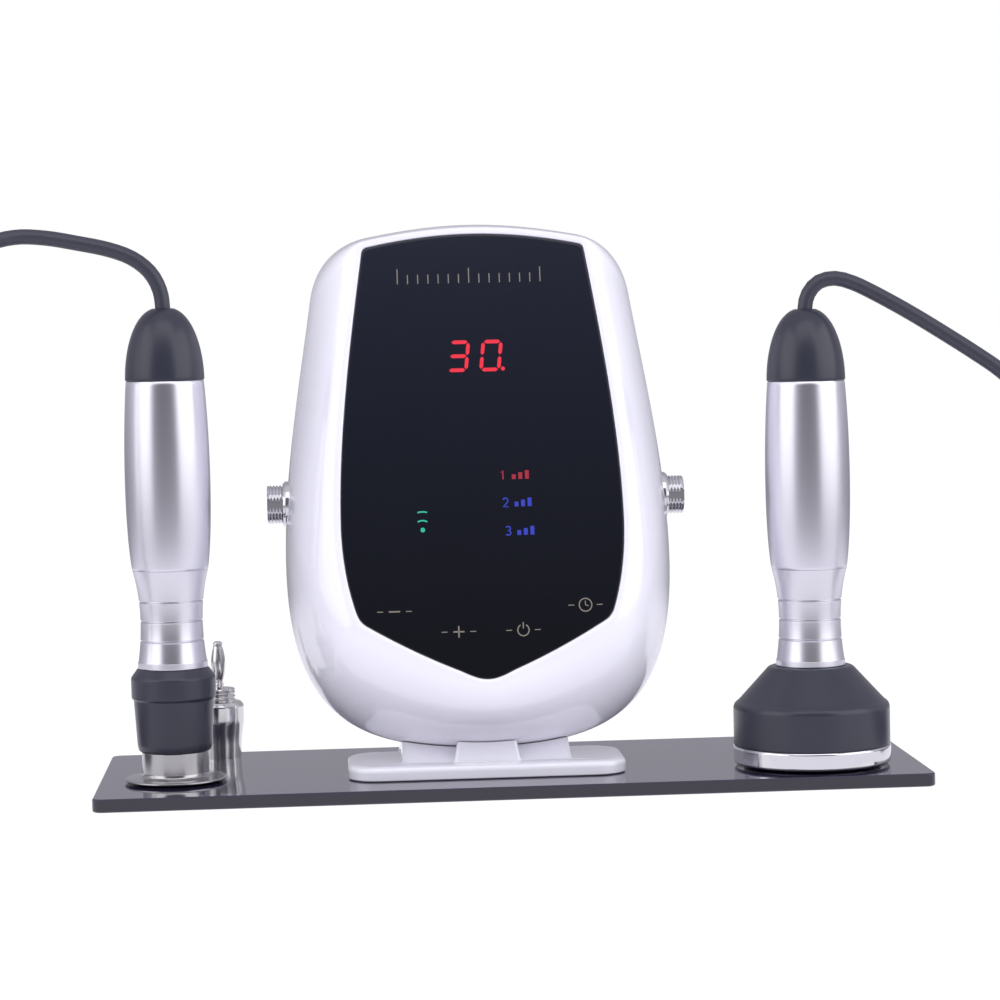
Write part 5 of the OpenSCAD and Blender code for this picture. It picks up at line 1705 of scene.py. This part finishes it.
@dataclass
class Marks:
    """Lit figures and printed key signs, as thin inlays level with the smoked sheet."""

    console: Console
    proud: float = 0.04
    sunk: float = 0.05
    digit_h: float = 8.5
    digit_w: float = 5.4
    digit_pitch: float = 10.0
    digit_z: float = 131.8
    digit_x: float = 1.7
    slant: float = 0.12
    bar_half: float = 0.56
    bar_tip: float = 0.22
    bar_shoulder: float = 0.84
    point_x: float = 7.9
    point_rise: float = 0.2
    point_r: float = 0.62
    figure_h: float = 2.6
    figure_w: float = 0.56
    line_w: float = 0.42
    levels: tuple = ((1, (5.9, 95.6), DIM_RED, "dim_red"), (2, (6.4, 87.4), LIT_BLUE, "lit_blue"),
                     (3, (6.9, 78.9), LIT_BLUE, "lit_blue"))
    signal: tuple[float, float] = (-18.2, 79.8)
    keys: tuple = ((-27.5, 55.9), (-8.4, 49.5), (11.0, 49.5), (30.0, 56.4))
    key_r: float = 1.7
    ticks: int = 15
    tick_from: tuple[float, float] = (-23.5, 154.2)
    tick_span: float = 43.9

    def plate(self, form: Form, outline: Array) -> None:
        """Adds a thin plate of a closed outline given as x and z."""
        form.loft(np.stack([self.console.on_panel(outline, d) for d in (self.sunk, -self.proud)]))

    def stroke(self, form: Form, line: Sequence[Sequence[float]], width: float, closed: bool = False) -> None:
        """Adds a ribbon of a width along a line of x and z points.

        Each side of the ribbon is the line moved half the width along the line's own normal.

        Args:
            form: Where it is added.
            line: Points x and z.
            width: Width of the ribbon.
            closed: Whether the line is a loop.
        """
        p = np.asarray(line, float)
        if closed:
            slope = np.roll(p, -1, 0) - np.roll(p, 1, 0)
        else:
            slope = np.gradient(p, axis=0)
        normal = unit(slope) @ np.array([[0.0, 1.0], [-1.0, 0.0]]) * width / 2
        rows = [self.console.on_panel(p + s * normal, d)
                for s, d in ((1, self.sunk), (-1, self.sunk), (-1, -self.proud), (1, -self.proud))]
        if closed:
            form.sheet(np.stack(rows), wrap_rows=True, wrap_columns=True)
        else:
            form.loft(np.stack(rows, 1))

    def line(self, form: Form, start: Sequence[float], end: Sequence[float], width: float) -> None:
        """Adds a straight ribbon from one point to another."""
        self.stroke(form, np.linspace(start, end, 3), width)

    def arc(self, centre: Sequence[float], radius: float, start: float, end: float, steps: int = 24) -> Array:
        """Points of a circular arc between two angles in degrees."""
        a = np.radians(np.linspace(start, end, steps))
        return np.stack([centre[0] + radius * np.cos(a), centre[1] + radius * np.sin(a)], 1)

    def dot(self, form: Form, centre: Sequence[float], radius: float) -> None:
        """Adds a round plate."""
        self.plate(form, self.arc(centre, radius, 0, 345, 24))

    def digits(self) -> None:
        """Two slanted figures of seven bars and a point."""
        ends = (((0, 1), (1, 1)), ((1, 0.5), (1, 1)), ((1, 0), (1, 0.5)), ((0, 0), (1, 0)),
                ((0, 0), (0, 0.5)), ((0, 0.5), (0, 1)), ((0, 0.5), (1, 0.5)))
        form = Form()
        for x0, bars in ((self.digit_x - self.digit_pitch, (0, 1, 2, 3, 6)),
                         (self.digit_x, (0, 1, 2, 3, 4, 5))):
            for bar in bars:
                a, b = (np.array([e[0] * self.digit_w, (e[1] - 0.5) * self.digit_h]) for e in ends[bar])
                along = unit(b - a)
                side = np.array([-along[1], along[0]]) * self.bar_half
                tip, shoulder = self.bar_tip * along, self.bar_shoulder * along
                p = np.array([a + tip, a + shoulder + side, b - shoulder + side,
                              b - tip, b - shoulder - side, a + shoulder - side])
                p[:, 0] += self.slant * p[:, 1] + x0
                p[:, 1] += self.digit_z
                self.plate(form, p)
        low = self.digit_z - self.digit_h / 2
        self.dot(form, (self.point_x, low + self.point_rise), self.point_r)
        dress(form.build("lit_digits", 30), "lit_red")

    def figure(self, form: Form, number: int, at: Sequence[float], height: float) -> None:
        """Adds the plain figure 1, 2 or 3, and three rising bars beside it.

        Args:
            form: Where it is added.
            number: The figure.
            at: Its left edge and its middle height.
            height: Its height.
        """
        x, z = at
        w = height * self.figure_w
        shapes = {1: [[(0.1, 0.78), (0.5, 1.0), (0.5, 0.0)]],
                  2: [[(0.0, 0.78), (0.15, 0.95), (0.5, 1.0), (0.85, 0.93), (1.0, 0.72), (0.8, 0.45),
                       (0.0, 0.0), (1.0, 0.0)]],
                  3: [[(0.0, 0.9), (0.4, 1.0), (0.85, 0.93), (0.95, 0.73), (0.8, 0.56), (0.4, 0.52)],
                      [(0.4, 0.52), (0.85, 0.46), (1.0, 0.26), (0.85, 0.06), (0.4, 0.0), (0.0, 0.1)]]}
        for line in shapes[number]:
            self.stroke(form, np.array(line) * [w, height] + [x, z - height / 2], self.line_w)
        for i in range(3):
            x0 = x + 3.4 + 2.0 * i
            high = height * (0.55 + 0.22 * i)
            bar = np.array([(0, 0), (0, high), (1.2, high), (1.2, 0)]) + [x0, z - height / 2]
            self.plate(form, bar)

    def lamps(self) -> None:
        """Three lit levels on the right and the green signal sign on the left."""
        for number, at, finish, name in self.levels:
            form = Form()
            self.figure(form, number, at, self.figure_h)
            dress(form.build(f"lit_level_{number}", 30), "lit_red", finish=finish, name=name)
        form = Form()
        for radius in (5.4, 2.8):
            half = np.degrees(np.arcsin(1.45 / radius))
            self.stroke(form, self.arc(self.signal, radius, 90 - half, 90 + half, 14), 0.45)
        self.dot(form, self.signal, 0.7)
        dress(form.build("lit_signal", 30), "lit_red", finish=LIT_GREEN, name="lit_green")

    def prints(self) -> None:
        """Grey signs of the four touch keys and a plain tick scale at the top."""
        form = Form()
        minus, plus, mode, timer = self.keys
        for key, way in ((minus, (1, 0)), (plus, (1, 0)), (plus, (0, 1))):
            arm = np.array(way) * self.key_r
            self.line(form, key - arm, key + arm, self.line_w)
        self.stroke(form, self.arc(mode, self.key_r, 120, 420, 30), 0.36)
        self.line(form, (mode[0], mode[1] + 0.5), (mode[0], mode[1] + 2.3), 0.36)
        self.stroke(form, self.arc(timer, 1.9, 0, 345, 30), 0.34, closed=True)
        self.stroke(form, [(timer[0], timer[1] + 1.2), timer, (timer[0] + 0.9, timer[1] - 0.35)], 0.3)
        for x, z in self.keys:
            for side in (-1, 1):
                self.line(form, (x + side * 3.4, z), (x + side * 5.2, z), 0.26)
        for i in range(self.ticks):
            x, z = self.tick_from[0] + self.tick_span / (self.ticks - 1) * i, self.tick_from[1]
            self.line(form, (x, z), (x, z + (2.8 if i % 7 else 4.6)), 0.32)
        dress(form.build("printed_signs", 30), "lamp_lens", finish=PRINT_GREY, name="print_grey")

    def build(self) -> None:
        """Makes all marks."""
        self.digits()
        self.lamps()
        self.prints()


# ------------------------------------------------------------------------------------ rear ports


@dataclass
class Ports:
    """Power switch and power inlet in the pocket of the rear shell, in the parting plane's frame."""

    console: Console
    across: float = 14.0
    up: float = -46.0
    floor: float = 16.3
    pivot: float = 15.7
    tilt: float = -8.0
    rocker_size: tuple[float, float] = (9.0, 7.3)

    def ring(self, size: tuple[float, float], radius: float, y: float, arc: int = 6) -> Array:
        """Rounded rectangle around the switch's middle at depth y, one row of points."""
        flat = round_outline(size, radius, arc=arc)
        return np.column_stack([flat[:, 0] + self.across, np.full(len(flat), y), flat[:, 1] + self.up])

    def frame(self) -> None:
        """Bevelled collar of the switch with its well."""
        y = self.floor
        steps = (((12, 18), 0.6, y - 14), ((12, 18), 0.6, y + 0.02), ((16, 21), 1.2, y + 0.02),
                 ((16, 21), 1.2, y + 1.0), ((15.8, 20.8), 1.1, y + 1.32), ((15.3, 20.3), 0.9, y + 1.5),
                 ((10.5, 16.3), 0.9, y + 1.5), ((9.7, 15.5), 0.5, y + 1.1), ((9.4, 15.2), 0.4, y + 0.9),
                 ((9.4, 15.2), 0.4, y - 10))
        rings = np.array([self.ring(*step) for step in steps])
        collar = Form().loft(self.console.at_ring(rings)).build("switch_collar", 30)
        dress(collar, "black_parts", "root", ("switch_frame",))

    def top(self, along: Array) -> Array:
        """Height of the rocker's hollow face over its pivot."""
        return 2.6 + 0.2 * np.sqrt(along**2 + 0.5)

    def tilted(self, points: Array) -> Array:
        """Points (across, out, along) of the rocker, turned about its pivot into place.

        Args:
            points: Points about the pivot.

        Returns:
            Points x, y, z.
        """
        a = np.radians(self.tilt)
        x, y, z = points[..., 0], points[..., 1], points[..., 2]
        turned = np.stack([x + self.across, y * np.cos(a) - z * np.sin(a) + self.pivot,
                           y * np.sin(a) + z * np.cos(a) + self.up], -1)
        return self.console.at_ring(turned)

    def rocker(self) -> None:
        """Rocker with a hollow face and soft edges, and its two printed signs."""
        width, reach = self.rocker_size
        along = np.linspace(-6.7, 6.7, 25)
        side = joined(np.stack([along, self.top(along)], 1),
                      rounded([(7.05, 3.5, 0.3), (reach - 0.05, -0.9, 0.4), (2, -6, 0.4), (-2, -6, 0.4),
                               (-reach + 0.05, -0.9, 0.4), (-7.05, 3.5, 0.3)], 4))
        rings = [np.column_stack([np.full(len(side), x), (side[:, 1] + 1) * k - 1, side[:, 0] * k])
                 for x, k in ((-width / 2, 0.955), (-width / 2 + 0.12, 0.985), (-width / 2 + 0.4, 1.0),
                              (width / 2 - 0.4, 1.0), (width / 2 - 0.12, 0.985), (width / 2, 0.955))]
        dress(Form().loft(self.tilted(np.array(rings))).build("switch_rocker", 35), "black_parts", "rocker",
              ("power_rocker",))
        signs, turn = Form(), np.linspace(0, TURN, 32, endpoint=False)
        for middle, sizes in ((-4.3, ((1.25, 1.25), (0.9, 0.9))), (4.3, ((0.2, 1.2), (0.02, 0.9)))):
            rows = []
            outer, inner = sizes
            for (wide, high), lift in ((outer, -0.1), (outer, 0.04), (inner, 0.04), (inner, -0.1)):
                z = middle + high * np.sin(turn)
                rows.append(np.stack([wide * np.cos(turn), self.top(z) + lift, z], -1))
            signs.sheet(self.tilted(np.array(rows)), wrap_rows=True, wrap_columns=True)
        dress(signs.build("switch_signs", 30), "lamp_lens", "rocker")

    def turned(self, profile: Array, name: str, slot: str, replaced: Sequence[str] = ()) -> None:
        """Piece turned about the inlet's axis.

        Args:
            profile: Radius and place along y.
            name: The piece's name.
            slot: The record's slot.
            replaced: Construction nodes that it stands for.
        """
        piece = Form().lathe(profile, (0, 0, 0), "+y", 64)
        piece.points = self.console.at_ring(piece.points + [-self.across, 0, self.up])
        dress(piece.build(name, 30), slot, "root", replaced)

    def inlet(self) -> None:
        """Round power inlet with a bevelled collar, a steel sleeve and its pin."""
        y = self.floor
        collar = [(0, y - 13, 0), (5, y - 13, 0.3), (5, y + 0.02, 0), (6.5, y + 0.02, 0), (6.5, y + 1.4, 0.5),
                  (3.35, y + 1.4, 0.1), (3.35, y + 1.0, 0), (2.8, y + 1.0, 0), (2.8, y - 9, 0), (0, y - 9, 0)]
        self.turned(rounded(collar, 5), "inlet_collar", "black_parts", ("dc_inlet",))
        self.turned(rounded([(0, y - 9.5, 0), (1.0, y - 9.5, 0), (1.0, y - 0.1, 0.3), (0, y, 0)], 4),
                    "inlet_pin", "contact_gold")
        self.turned(rounded([(2.82, y - 1, 0), (3.3, y - 1, 0), (3.3, y + 1.3, 0.1), (2.82, y + 1.3, 0.1),
                             (2.82, y - 1, 0)], 3), "inlet_sleeve", "screw_steel")

    def build(self) -> None:
        """Makes both ports."""
        self.frame()
        self.rocker()
        self.inlet()


# ------------------------------------------------------------------------------------------- inside


class Insides:
    """Construction nodes that keep their own shape and get the finish of their slot."""

    nodes: dict[str, str] = {
        "foot_screws": "screw_steel", "case_screws": "screw_steel", "panel_gasket": "gasket_foam",
        "display_board": "board_green", "display_screws": "screw_steel", "digit_display": "black_parts",
        "lit_segments": "lit_red", "indicator_lamps": "lamp_lens", "key_springs": "screw_steel",
        "main_board": "board_green", "board_screws": "screw_steel", "rf_transformer": "copper_coil",
        "heat_sink": "aluminium_fins", "power_transistors": "black_parts", "filter_capacitors": "black_parts",
        "buzzer": "black_parts", "left_core": "black_parts", "left_jack": "contact_gold",
        "left_cord_clamp": "black_parts", "right_core": "black_parts", "right_jack": "contact_gold",
        "right_cord_clamp": "black_parts", "large_contact": "contact_gold"}

    def build(self) -> None:
        """Gives every node its material."""
        for name, slot in self.nodes.items():
            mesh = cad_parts[name].data
            mesh.materials.clear()
            mesh.materials.append(Paint.of(FINISHES[slot]))
            LOG.info("%s: %s", name, slot)


def main() -> None:
    """Builds the studio and every piece, in order."""
    logging.basicConfig(level=logging.INFO, format="%(message)s")
    Studio().build()
    for lead in free_runs():
        lead.build()
    console = Console()
    base = Base()
    base.plate()
    base.foot(console)
    console.front_shell()
    console.rear_shell()
    console.touch_panel()
    Marks(console).build()
    Sockets().build()
    heads = Heads()
    Handpiece("left", heads.small_at, heads.floor + heads.small_h).build()
    Handpiece("right", heads.large_at, heads.floor + heads.large_h).build()
    heads.build()
    Ports(console).build()
    Insides().build()


if __name__ == "__main__":
    main()
